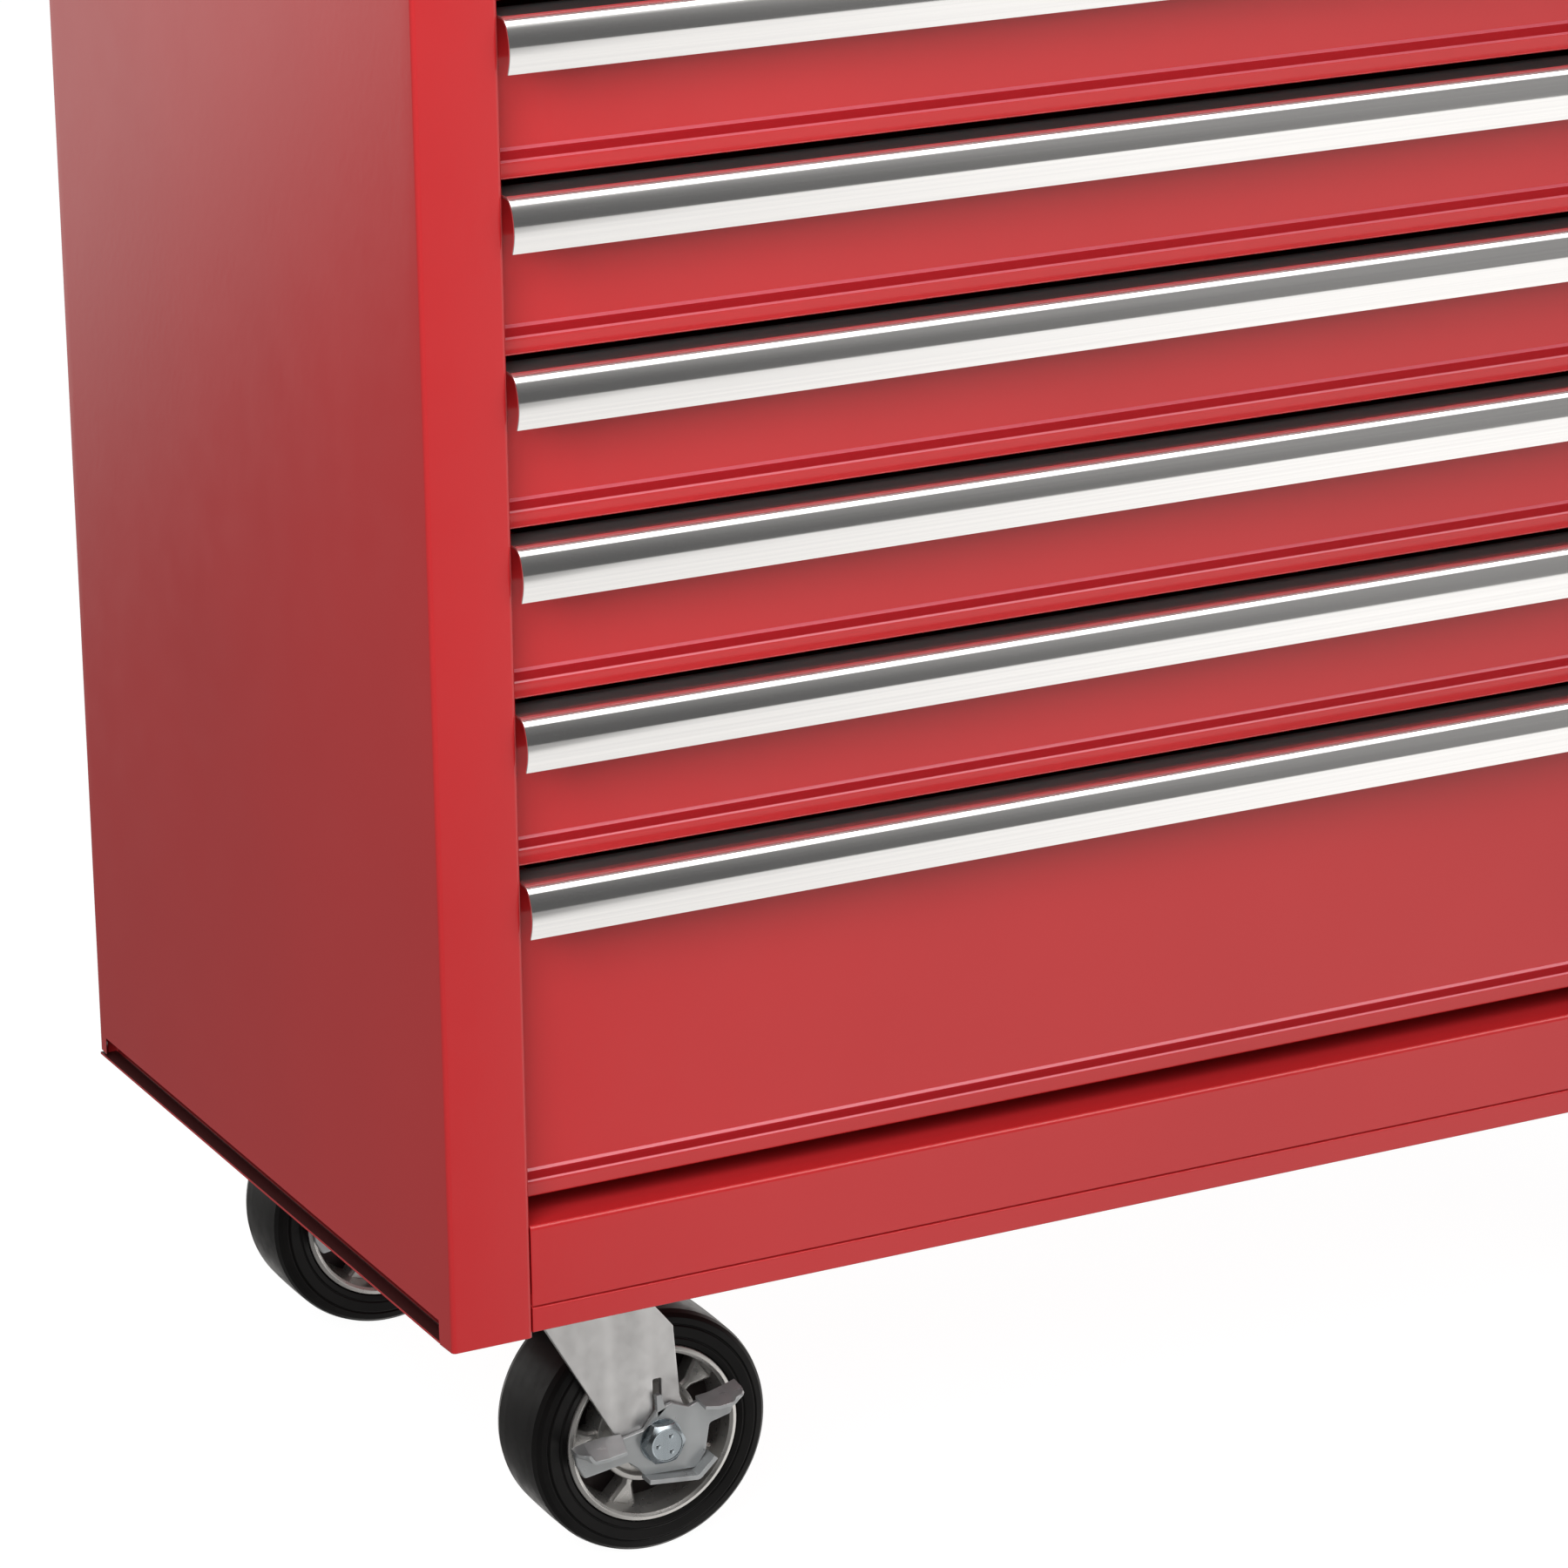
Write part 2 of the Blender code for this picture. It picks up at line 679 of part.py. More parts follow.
def axle_bolt(prefix, centre, front):
    """A bolt through the fork and the wheel, with a hexagon head and nut."""
    ends = (centre[1] - front, centre[1] + LEG_INNER + LEG_SHEET + WASHER_GAP)
    middle = (centre[0], sum(ends) / 2, centre[2])
    length = ends[1] - ends[0] + BOLT_HEAD_HEIGHT
    bolt = cylinder(
        prefix + "_axle_bolt", AXLE_RADIUS, middle, Vector((0, -1, 0)), length, zinc, segments=16
    )
    for name, y in (("head", ends[0] - BOLT_HEAD_HEIGHT / 2), ("nut", ends[1] + BOLT_HEAD_HEIGHT / 2)):
        hexagon = cylinder(
            name, BOLT_HEAD_RADIUS, (centre[0], y, centre[2]), Vector((0, -1, 0)),
            BOLT_HEAD_HEIGHT, zinc, segments=6,
        )
        join(bolt, hexagon)
    return bolt


def fork_legs(name, centre, line):
    """Two equal legs: the line of their upper corners, closed round the axle's boss."""
    outline = [(centre[0] + x, centre[2] + z) for x, z in line]
    outline += arc((centre[0], centre[2]), BOSS_RADIUS, 10, -190, 8)
    inner, outer = LEG_INNER, LEG_INNER + LEG_SHEET
    front = plate(name, outline, "XZ", centre[1] - outer, centre[1] - inner, zinc)
    rear = plate("rear_leg", outline, "XZ", centre[1] + inner, centre[1] + outer, zinc)
    return front, rear


def axle_holes(piece, centre):
    hole = cylinder(
        "axle_hole", AXLE_RADIUS + GAP, centre, Vector((0, -1, 0)), 4 * LEG_INNER, zinc, segments=16
    )
    cut(piece, hole)


def swivel_plate(prefix, axis_x, y):
    """The fixed plate of a swivel caster, with its ball race and kingpin."""
    top = -GAP
    bolted = box(
        prefix + "_caster_plate",
        (axis_x - PLATE_HALF_X, y - PLATE_HALF_Y, top - PLATE_SHEET),
        (axis_x + PLATE_HALF_X, y + PLATE_HALF_Y, top),
        zinc,
    )
    crown_bottom = -CROWN_TOP - CROWN_SHEET
    profile = [
        (0.0, top - PLATE_SHEET / 2),
        (RACE_RADIUS, top - PLATE_SHEET / 2),
        (RACE_RADIUS, RACE_CHAMFER - RACE_BOTTOM),
        (RACE_RADIUS - RACE_CHAMFER, -RACE_BOTTOM),
        (KINGPIN_RADIUS, -RACE_BOTTOM),
        (KINGPIN_RADIUS, crown_bottom - GAP),
        (KINGPIN_HEAD, crown_bottom - GAP),
        (0.9 * KINGPIN_HEAD, crown_bottom - 0.8 * KINGPIN_HEAD_HEIGHT),
        (0.0, crown_bottom - KINGPIN_HEAD_HEIGHT),
    ]
    race = turned("race", profile, (axis_x, y, 0.0), Vector((0, 0, 1)), zinc, segments=24)
    join(bolted, race)


def swivel_fork(prefix, axis_x, wheel):
    """A crown that turns on the kingpin, with a leg down each side of the wheel."""
    above = -CROWN_TOP - CROWN_SHEET / 2 - wheel[2]
    line = [(-BOSS_RADIUS - 0.0035, 0.004), (-TRAIL - CROWN_HALF, above), (-TRAIL + CROWN_HALF, above)]
    line += [(0.0095, 0.058), (0.0125, 0.0202)]
    front, rear = fork_legs(prefix + "_caster_fork", wheel, line)
    half_depth = LEG_INNER + LEG_SHEET + WASHER_GAP
    crown = box(
        "crown",
        (axis_x - CROWN_HALF - GAP, wheel[1] - half_depth, -CROWN_TOP - CROWN_SHEET),
        (axis_x + CROWN_HALF + GAP, wheel[1] + half_depth, -CROWN_TOP),
        zinc,
    )
    join(front, rear, crown)
    pin_hole = cylinder(
        "pin_hole",
        KINGPIN_RADIUS + 2 * GAP,
        (axis_x, wheel[1], -CROWN_TOP),
        Vector((0, 0, 1)),
        4 * CROWN_SHEET,
        zinc,
    )
    cut(front, pin_hole)
    axle_holes(front, wheel)
    return front


def rigid_fork(prefix, wheel):
    """A fork and its plate in one, bolted straight under the base."""
    above = -GAP - PLATE_SHEET / 2 - wheel[2]
    line = [
        (-BOSS_RADIUS, BOSS_RADIUS / 2),
        (-RIGID_LEG_HALF, above),
        (RIGID_LEG_HALF, above),
        (BOSS_RADIUS, BOSS_RADIUS / 2),
    ]
    front, rear = fork_legs(prefix + "_caster_fork", wheel, line)
    bolted = box(
        "plate",
        (wheel[0] - PLATE_HALF_X, wheel[1] - PLATE_HALF_Y, -GAP - PLATE_SHEET),
        (wheel[0] + PLATE_HALF_X, wheel[1] + PLATE_HALF_Y, -GAP),
        zinc,
    )
    join(front, rear, bolted)
    axle_holes(front, wheel)
    return front


def brake_lever(prefix, wheel):
    """A toggle on the axle bolt, with a pedal at each end and a shoe tab below."""
    body = [
        (-0.044, -0.005), (-0.044, 0.001), (-0.024, 0.0035), (-0.009, 0.007), (-0.002, 0.0155),
        (0.0065, 0.0185), (0.016, 0.0135), (0.0265, 0.019), (0.045, 0.021), (0.045, 0.013),
        (0.026, 0.0055), (0.0245, -0.012), (0.019, -0.019), (-0.009, -0.0175), (-0.018, -0.0085),
    ]
    outline = [(wheel[0] + x, wheel[2] + z) for x, z in body]
    rear = wheel[1] - LEG_INNER - LEG_SHEET - WASHER_GAP
    face = rear - LEVER_SHEET
    lever = plate(prefix + "_brake_lever", outline, "XZ", face, rear, zinc)
    bent_tabs = {
        "left_pedal": [(-0.047, -0.0075), (-0.047, -0.0045), (-0.026, 0.0005), (-0.026, -0.0025)],
        "right_pedal": [(0.026, 0.0125), (0.026, 0.0155), (0.050, 0.0165), (0.050, 0.0135)],
        "shoe_tab": [(-0.009, -0.0195), (-0.009, -0.0165), (0.018, -0.0180), (0.018, -0.0210)],
    }
    for name, corners in bent_tabs.items():
        outline = [(wheel[0] + x, wheel[2] + z) for x, z in corners]
        depth = PEDAL_REACH if name.endswith("pedal") else PEDAL_REACH / 2
        join(lever, plate(name, outline, "XZ", face - depth, rear - LEVER_SHEET / 2, zinc))
    bore = cylinder(
        "axle_hole", AXLE_RADIUS + GAP, (wheel[0], face, wheel[2]), Vector((0, -1, 0)),
        4 * LEVER_SHEET, zinc, segments=16,
    )
    cut(lever, bore)
    return lever


def caster(corner, y):
    """One caster: swivelling with a brake on the left, rigid on the right."""
    leg_face = LEG_INNER + LEG_SHEET + WASHER_GAP
    if "left" in corner:
        wheel = (SWIVEL_X + TRAIL, y, WHEEL_Z)
        swivel_plate(corner, SWIVEL_X, y)
        fork = swivel_fork(corner, SWIVEL_X, wheel)
        bolt = axle_bolt(corner, wheel, leg_face + LEVER_SHEET + WASHER_GAP)
        lever = brake_lever(corner, wheel)
        rolling = [tyre(corner, wheel), hub(corner, wheel)]
        swivel = hang_on([fork, bolt], corner + "_swivel_axis", at(SWIVEL_X, y, 0.0))
        brake = hang_on([lever], corner + "_brake_axis", at(*wheel))
        roll = hang_on(rolling, corner + "_wheel_axis", at(*wheel))
        for axis in (brake, roll):
            axis.parent = swivel
            axis.location = axis.location - swivel.location
    else:
        wheel = (CABINET_WIDTH - SWIVEL_X, y, WHEEL_Z)
        rigid_fork(corner, wheel)
        axle_bolt(corner, wheel, leg_face)
        hang_on([tyre(corner, wheel), hub(corner, wheel)], corner + "_wheel_axis", at(*wheel))


def casters():
    for side in ("left", "right"):
        caster("front_" + side, WHEEL_FRONT_Y)
        caster("rear_" + side, WHEEL_REAR_Y)


def cabinet():
    for side in ("left", "right"):
        side_panel(side)
    back_panel()
    top_panel()
    base_pan()
    bottom_rail()
    top_rail()
    lock_cylinder()
    push_handle()


clear_scene()
parts = make_collection("rolling_tool_chest")
cutters = make_collection("cutters")
red_paint = make_material("red_paint", (0.47, 0.035, 0.035), 0.28, 0.0)
chrome = make_material("polished_metal", (0.82, 0.82, 0.83), 0.10, 1.0)
zinc = make_material("zinc_plate", (0.52, 0.54, 0.56), 0.34, 1.0)
aluminium = make_material("wheel_aluminium", (0.60, 0.60, 0.58), 0.32, 1.0)
rubber = make_material("black_rubber", (0.018, 0.018, 0.019), 0.55, 0.0)
cabinet()
drawers()
casters()
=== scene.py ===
"""The looks of a red rolling tool chest: painted sheet steel, polished pulls and braked casters.

Lengths are in metres. Places are mostly given in the cabinet's own terms: x from its left face,
y back from the plane of its front posts, and z up from the underside of its base.
"""

import math

import bmesh
import bpy
from mathutils import Matrix, Vector


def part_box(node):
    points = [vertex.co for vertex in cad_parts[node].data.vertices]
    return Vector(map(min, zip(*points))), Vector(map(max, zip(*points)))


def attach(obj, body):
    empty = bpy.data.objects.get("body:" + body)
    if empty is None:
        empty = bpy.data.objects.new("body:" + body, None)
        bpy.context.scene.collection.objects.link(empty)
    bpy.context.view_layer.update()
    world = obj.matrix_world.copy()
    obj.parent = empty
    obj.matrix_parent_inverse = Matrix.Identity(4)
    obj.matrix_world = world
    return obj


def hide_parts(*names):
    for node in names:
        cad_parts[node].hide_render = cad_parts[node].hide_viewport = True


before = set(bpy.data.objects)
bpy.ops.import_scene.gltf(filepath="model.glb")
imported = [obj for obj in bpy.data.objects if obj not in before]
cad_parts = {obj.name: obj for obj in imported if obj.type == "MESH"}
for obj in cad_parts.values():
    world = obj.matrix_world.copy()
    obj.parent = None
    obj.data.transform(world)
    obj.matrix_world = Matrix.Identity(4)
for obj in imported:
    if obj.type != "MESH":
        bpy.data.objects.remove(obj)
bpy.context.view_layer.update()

# The cabinet's own corner and size. The side panels hang a little below the base's underside.
PANEL_DROP = 0.0027
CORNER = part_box("left_side_panel")[0] + Vector((0.0, 0.0, PANEL_DROP))
FAR_CORNER = Vector((*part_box("right_side_panel")[1].xy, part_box("top_panel")[1].z))
WIDTH, DEPTH, HEIGHT = FAR_CORNER - CORNER

# Cabinet sheet: its thickness, the clearance between parts, the bends and the folds.
SHEET = 0.0012
GAP = 0.0003
SEAM = 0.0001
BEND = 0.0022
POST_WIDTH = 0.042
POST_RETURN = 0.020
BACK_HEM = 0.015
SILL_HEIGHT = 0.0095
SILL_START = 0.015
SILL_STOP = 0.009
SILL_INSET = 0.008
BASE_STOP = 0.004
CAP_SKIRT = 0.012
CAP_CORNER = 1.3 * BEND
BACK_BEAD_HEIGHTS = (0.28, 0.52)
BACK_BEAD_MARGIN = 0.09
RAIL_LEDGE = 0.045
RAIL_HEM = 0.010
RAIL_OVERHANG = 0.0004
LOCK_RADIUS = 0.0125
HANDLE_RADIUS = 0.0125
HANDLE_BEND = 0.026

# Drawers: the pressed front, the tray behind it, the slides and the curled pull.
DRAWER_COUNT = 7
FRONT_RECESS = 0.013
FRONT_CLEARANCE = 0.002
FRONT_HEM = 0.009
LIP_HEM = 0.0045
FRONT_SHEET = 0.001
TRAY_INSET = 0.0553
TRAY_SHEET = 0.001
TRAY_RISE = 0.004
RIM_DROP = 0.003
RIM_RADIUS = 0.0016
SLIDE_RISE = 0.038
MEMBER_SHEET = 0.0009
MEMBER_START = 0.024
UPRIGHT_STARTS = (0.026, 0.395)
UPRIGHT_DEPTH = 0.026
PULL_SHEET = 0.0012
PULL_ARC_START = 0.0005
PULL_ARCS = ((0.007, 0.0, 60.0), (0.022, 60.0, 110.0))
PULL_TAIL = 0.0039
PULL_STRETCH = 0.0028
PULL_STEP = 5.0

# Casters: plate, fork, wheel and axle bolt.
PLATE_HALF = (0.050, 0.0425)
PLATE_LEVELS = (-0.0043, -0.0003)
PLATE_CORNER = 0.006
PLATE_BOLTS = (0.040, 0.033)
CROWN_HALF = (0.0293, 0.0308)
CROWN_LEVELS = (-0.0166, -0.0126)
LEG_FACES = (0.0275, 0.0305)
LEG_END = 0.019
AXLE_HOLE = 0.0053
PRESSED_EDGE = 0.0006
SPOKE_COUNT = 5
SPOKE_START = 108
WEB_HALF = 0.0046
BOLT_FLATS = 0.020
BOLT_HEAD = 0.007
LEVER_SHEET = 0.003

# Mesh work: edges kept sharp, edges bevelled, and distances taken as none.
SMOOTH_ANGLE = math.radians(34)
BEVEL_ANGLE = math.radians(40)
ON_AXIS = 1e-7
WELD_DISTANCE = 1e-6

# Studio light. The slant puts the edge of the dim part behind the chest at an angle.
REAR_SLANT = 0.733
SKY_GLOW = 3.5
BACKDROP_GLOW = 0.95
AIR_TINT = (1.0, 0.975, 0.95, 1.0)
FLOOR_GLOW = 0.97
FLOOR_GREY = 0.12
FLOOR_HALF = 40.0

# The camera: its angles in degrees, its distance and lens, and the point it looks at.
CAMERA_AZIMUTH = -27.04
CAMERA_ELEVATION = 18.32
CAMERA_ROLL = -0.71
CAMERA_DISTANCE = 2.897
CAMERA_LENS = 140.9
CAMERA_SENSOR = 36.0
CAMERA_AIM = (0.1794, 0.0, 0.2525)


# ---------------------------------------------------------------- places and outlines


def at(x, y, z):
    """A place in the cabinet's terms, as a place in the world."""
    return CORNER + Vector((x, y, z))


def across(side, x):
    """x on the left side, or its mirror image on the right."""
    return x if side == "left" else WIDTH - x


def mirrored(side, outline):
    """An outline on the left side, or its mirror image on the right."""
    return [(across(side, x), other) for x, other in outline]


def rectangle(low, high):
    """The four corners of a rectangle."""
    return [(low[0], low[1]), (high[0], low[1]), (high[0], high[1]), (low[0], high[1])]


def both_ways(half):
    """A profile that goes on as its own mirror image on the other side of height zero."""
    return half + [(radius, -height) for radius, height in reversed(half) if height > 0.0]


def in_plane(plane, u, v, w):
    """A point given by two coordinates in a plane and one across it."""
    return {"XY": (u, v, w), "XZ": (u, w, v), "YZ": (w, u, v)}[plane]


def arc(centre, radius, start, end, steps):
    """Points on an arc, in degrees from the first axis of its plane."""
    points = []
    for step in range(steps + 1):
        angle = math.radians(start + (end - start) * step / steps)
        points.append((centre[0] + radius * math.cos(angle), centre[1] + radius * math.sin(angle)))
    return points


def rounded(points, radius, steps=5, closed=False):
    """The same line with each corner turned into an arc."""
    points = [Vector(point) for point in points]
    count = len(points)
    line = []
    for index, corner in enumerate(points):
        if not closed and index in (0, count - 1):
            line.append(tuple(corner))
            continue
        before = points[index - 1] - corner
        after = points[(index + 1) % count] - corner
        turn = before.angle(after)
        reach = min(radius / math.tan(turn / 2), 0.49 * before.length, 0.49 * after.length)
        true_radius = reach * math.tan(turn / 2)
        start = corner + before.normalized() * reach
        end = corner + after.normalized() * reach
        middle = (before.normalized() + after.normalized()).normalized()
        centre = corner + middle * (reach / math.cos(turn / 2))
        first, last = start - centre, end - centre
        for step in range(steps + 1):
            share = step / steps
            swing = (math.pi - turn) * share
            weight = math.sin(math.pi - turn)
            mix = first * math.sin(math.pi - turn - swing) + last * math.sin(swing)
            mix = mix / weight
            line.append(tuple(centre + mix.normalized() * true_radius))
    return line


def folded(line, thickness):
    """The closed outline of a folded sheet that lies to the right of its outer line."""
    points = [Vector(point) for point in line]
    normals = []
    for start, end in zip(points, points[1:]):
        run = (end - start).normalized()
        normals.append(Vector((run.y, -run.x)))
    inner = []
    for index, point in enumerate(points):
        before = normals[max(index - 1, 0)]
        after = normals[min(index, len(normals) - 1)]
        inner.append(point + (before + after) * thickness / (1.0 + before.dot(after)))
    return [tuple(point) for point in points + inner[::-1]]


# ---------------------------------------------------------------- shapes


def extrude(shape, outline, plane, low, high):
    """Carries a closed outline from low to high across its plane."""
    loft(shape, [[at(*in_plane(plane, u, v, level)) for u, v in outline] for level in (low, high)])


def plate(shape, outlines, plane, low, high, edge=0.0):
    """A flat plate from an outline and its holes, with slightly rounded edges."""
    curve = bpy.data.curves.new("outline", "CURVE")
    curve.dimensions = "2D"
    curve.fill_mode = "BOTH"
    curve.extrude = (high - low) / 2 - edge
    curve.bevel_depth = edge
    curve.bevel_resolution = 1
    curve.offset = -edge
    for outline in outlines:
        spline = curve.splines.new("POLY")
        spline.points.add(len(outline) - 1)
        spline.use_cyclic_u = True
        for point, (u, v) in zip(spline.points, outline):
            point.co = (u, v, 0.0, 1.0)
    guide = bpy.data.objects.new("outline", curve)
    bpy.context.scene.collection.objects.link(guide)
    bpy.context.view_layer.update()
    graph = bpy.context.evaluated_depsgraph_get()
    mesh = bpy.data.meshes.new_from_object(guide.evaluated_get(graph))
    bpy.data.objects.remove(guide, do_unlink=True)
    old = set(shape.verts)
    shape.from_mesh(mesh)
    fresh = [vert for vert in shape.verts if vert not in old]
    for vert in fresh:
        vert.co = at(*in_plane(plane, vert.co.x, vert.co.y, vert.co.z + (low + high) / 2))
    bmesh.ops.remove_doubles(shape, verts=fresh, dist=WELD_DISTANCE)
    fresh = {vert for vert in shape.verts if vert not in old}
    faces = [face for face in shape.faces if face.verts[0] in fresh]
    bmesh.ops.recalc_face_normals(shape, faces=faces)
    bpy.data.meshes.remove(mesh)


def turn(shape, profile, centre, axis, steps=64):
    """Turns a closed (radius, height) profile about an axis through a point."""
    swing = Vector((0, 0, 1)).rotation_difference(Vector(axis)).to_matrix()
    middle = at(*centre)
    rings = []
    for radius, height in profile:
        if radius < ON_AXIS:
            rings.append([shape.verts.new(middle + swing @ Vector((0.0, 0.0, height)))] * steps)
            continue
        ring = []
        for step in range(steps):
            angle = math.tau * step / steps
            spot = Vector((radius * math.cos(angle), radius * math.sin(angle), height))
            ring.append(shape.verts.new(middle + swing @ spot))
        rings.append(ring)
    faces = []
    following = rings[1:] if profile[0][0] < ON_AXIS else rings[1:] + rings[:1]
    for first, second in zip(rings, following):
        for step in range(steps):
            after = (step + 1) % steps
            corners = list(dict.fromkeys((first[step], first[after], second[after], second[step])))
            faces.append(shape.faces.new(corners))
    bmesh.ops.recalc_face_normals(shape, faces=faces)


def loft(shape, rings):
    """Skins a row of equal rings of world points and closes both ends."""
    rings = [[shape.verts.new(point) for point in ring] for ring in rings]
    faces = [shape.faces.new(rings[0]), shape.faces.new(rings[-1][::-1])]
    count = len(rings[0])
    for first, second in zip(rings, rings[1:]):
        for index in range(count):
            after = (index + 1) % count
            corners = (first[index], second[index], second[after], first[after])
            faces.append(shape.faces.new(corners))
    bmesh.ops.recalc_face_normals(shape, faces=faces)


def tube(shape, path, radius, steps=20):
    """A round bar along a path of points in the cabinet's terms."""
    points = [at(*point) for point in path]
    rings = []
    for index, point in enumerate(points):
        ahead = points[min(index + 1, len(points) - 1)] - points[max(index - 1, 0)]
        across_way = ahead.cross(Vector((0, 0, 1))).normalized()
        up = across_way.cross(ahead).normalized()
        ring = []
        for step in range(steps):
            angle = math.tau * step / steps
            ring.append(point + radius * (math.cos(angle) * across_way + math.sin(angle) * up))
        rings.append(ring)
    loft(shape, rings)


def block(shape, low, high):
    """A box between two corners."""
    extrude(shape, rectangle(low, high), "XY", low[2], high[2])


def piece(name, shape, material, body, nodes=(), edge=0.0003, weighted=True):
    """Makes an object of a shape, which moves with a CAD body and stands for CAD nodes."""
    mesh = bpy.data.meshes.new(name)
    shape.to_mesh(mesh)
    shape.free()
    mesh.shade_smooth()
    mesh.set_sharp_from_angle(angle=SMOOTH_ANGLE)
    mesh.materials.append(material)
    made = bpy.data.objects.new(name, mesh)
    bpy.context.scene.collection.objects.link(made)
    if edge:
        bevel = made.modifiers.new("soft_edges", "BEVEL")
        bevel.width = edge
        bevel.segments = 2
        bevel.limit_method = "ANGLE"
        bevel.angle_limit = BEVEL_ANGLE
        bevel.harden_normals = True
    if weighted:
        flat = made.modifiers.new("flat_faces", "WEIGHTED_NORMAL")
        flat.keep_sharp = True
    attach(made, body)
    if nodes:
        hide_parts(*nodes)
    return made


def recoat(made, material, chosen):
    """Gives a second material to the faces for which chosen(centre, normal) is true."""
    made.data.materials.append(material)
    slot = len(made.data.materials) - 1
    for face in made.data.polygons:
        if chosen(face.center - CORNER, face.normal):
            face.material_index = slot


# ---------------------------------------------------------------- materials


class Finish:
    """A material that is built up from procedural layers in object space."""

    def __init__(self, name, colour, roughness, metallic=0.0):
        self.material = bpy.data.materials.new(name)
        self.material.use_nodes = True
        self.tree = self.material.node_tree
        self.shader = self.tree.nodes["Principled BSDF"]
        self.shader.inputs["Base Color"].default_value = (*colour, 1.0)
        self.shader.inputs["Roughness"].default_value = roughness
        self.shader.inputs["Metallic"].default_value = metallic
        self.place = self.tree.nodes.new("ShaderNodeTexCoord").outputs["Object"]

    def link(self, start, end):
        self.tree.links.new(start, end)

    def noise(self, scale, detail=2.0, stretch=(1, 1, 1)):
        mapping = self.tree.nodes.new("ShaderNodeMapping")
        mapping.inputs["Scale"].default_value = stretch
        self.link(self.place, mapping.inputs["Vector"])
        texture = self.tree.nodes.new("ShaderNodeTexNoise")
        texture.inputs["Scale"].default_value = scale
        texture.inputs["Detail"].default_value = detail
        self.link(mapping.outputs["Vector"], texture.inputs["Vector"])
        return texture.outputs["Fac"]

    def spread(self, value, low, high, start=0.3, end=0.7):
        node = self.tree.nodes.new("ShaderNodeMapRange")
        node.inputs["From Min"].default_value = start
        node.inputs["From Max"].default_value = end
        node.inputs["To Min"].default_value = low
        node.inputs["To Max"].default_value = high
        self.link(value, node.inputs["Value"])
        return node.outputs["Result"]

    def between(self, factor, first, second):
        node = self.tree.nodes.new("ShaderNodeMix")
        node.data_type = "RGBA"
        node.inputs[6].default_value = (*first, 1.0)
        node.inputs[7].default_value = (*second, 1.0)
        self.link(factor, node.inputs["Factor"])
        return node.outputs[2]

    def bump(self, layers):
        """Adds height layers, each a (height socket, strength, depth in metres)."""
        normal = None
        for height, strength, depth in layers:
            node = self.tree.nodes.new("ShaderNodeBump")
            node.inputs["Strength"].default_value = strength
            node.inputs["Distance"].default_value = depth
            self.link(height, node.inputs["Height"])
            if normal is not None:
                self.link(normal, node.inputs["Normal"])
            normal = node.outputs["Normal"]
        self.link(normal, self.shader.inputs["Normal"])

    def set(self, socket, value):
        if hasattr(value, "links"):
            self.link(value, self.shader.inputs[socket])
        else:
            self.shader.inputs[socket].default_value = value


def powder_coat(name, colour, roughness=0.12, gloss=0.5):
    """Gloss paint on sheet steel: orange peel, faint clouding and uneven gloss."""
    finish = Finish(name, colour, roughness)
    finish.set("Specular IOR Level", gloss)
    shade = tuple(channel * 0.94 for channel in colour)
    cloud = finish.spread(finish.noise(5.0, 2.0), 0.0, 1.0)
    finish.set("Base Color", finish.between(cloud, shade, colour))
    uneven = finish.noise(38.0, 3.0)
    finish.set("Roughness", finish.spread(uneven, roughness - 0.01, roughness + 0.02))
    peel = finish.noise(260.0, 1.0)
    grit = finish.noise(1100.0, 1.0)
    finish.bump([(peel, 0.04, 0.0003), (grit, 0.03, 0.0001)])
    return finish.material


def polished_sheet(name):
    """Bright sheet with fine polishing lines along its length."""
    finish = Finish(name, (0.90, 0.90, 0.90), 0.08, 0.93)
    lines = finish.noise(1.0, 3.0, (1.2, 900.0, 900.0))
    patches = finish.noise(7.0, 2.0, (1.0, 4.0, 4.0))
    shine = finish.spread(lines, 0.0, 1.0)
    finish.set("Base Color", finish.between(shine, (0.87, 0.87, 0.87), (0.94, 0.94, 0.935)))
    finish.set("Roughness", finish.spread(patches, 0.08, 0.13))
    finish.bump([(lines, 0.06, 0.00008)])
    return finish.material


def zinc_plate(name, tint=(0.87, 0.87, 0.87), roughness=0.42, metallic=1.0):
    """Zinc on pressed steel: a cloudy grey with rolling marks down it."""
    finish = Finish(name, tint, roughness, metallic)
    dull = tuple(channel * 0.80 for channel in tint)
    clouds = finish.noise(45.0, 3.0)
    bands = finish.noise(1.0, 1.0, (75.0, 75.0, 9.0))
    finish.set("Base Color", finish.between(finish.spread(bands, 0.0, 1.0, 0.35, 0.65), dull, tint))
    grain = finish.noise(160.0, 3.0)
    finish.set("Roughness", finish.spread(grain, roughness - 0.06, roughness + 0.08))
    rolled = finish.noise(1.0, 3.0, (420.0, 420.0, 26.0))
    finish.bump([(rolled, 0.08, 0.0001), (clouds, 0.06, 0.0005)])
    return finish.material


def chrome_plate(name):
    """Mirror chrome with a trace of handling marks."""
    finish = Finish(name, (0.86, 0.86, 0.87), 0.07, 1.0)
    finish.set("Roughness", finish.spread(finish.noise(60.0, 4.0), 0.05, 0.14))
    haze = finish.noise(25.0, 2.0)
    finish.set("Base Color", finish.between(haze, (0.82, 0.82, 0.83), (0.89, 0.89, 0.90)))
    finish.bump([(finish.noise(420.0, 2.0), 0.02, 0.0001)])
    return finish.material


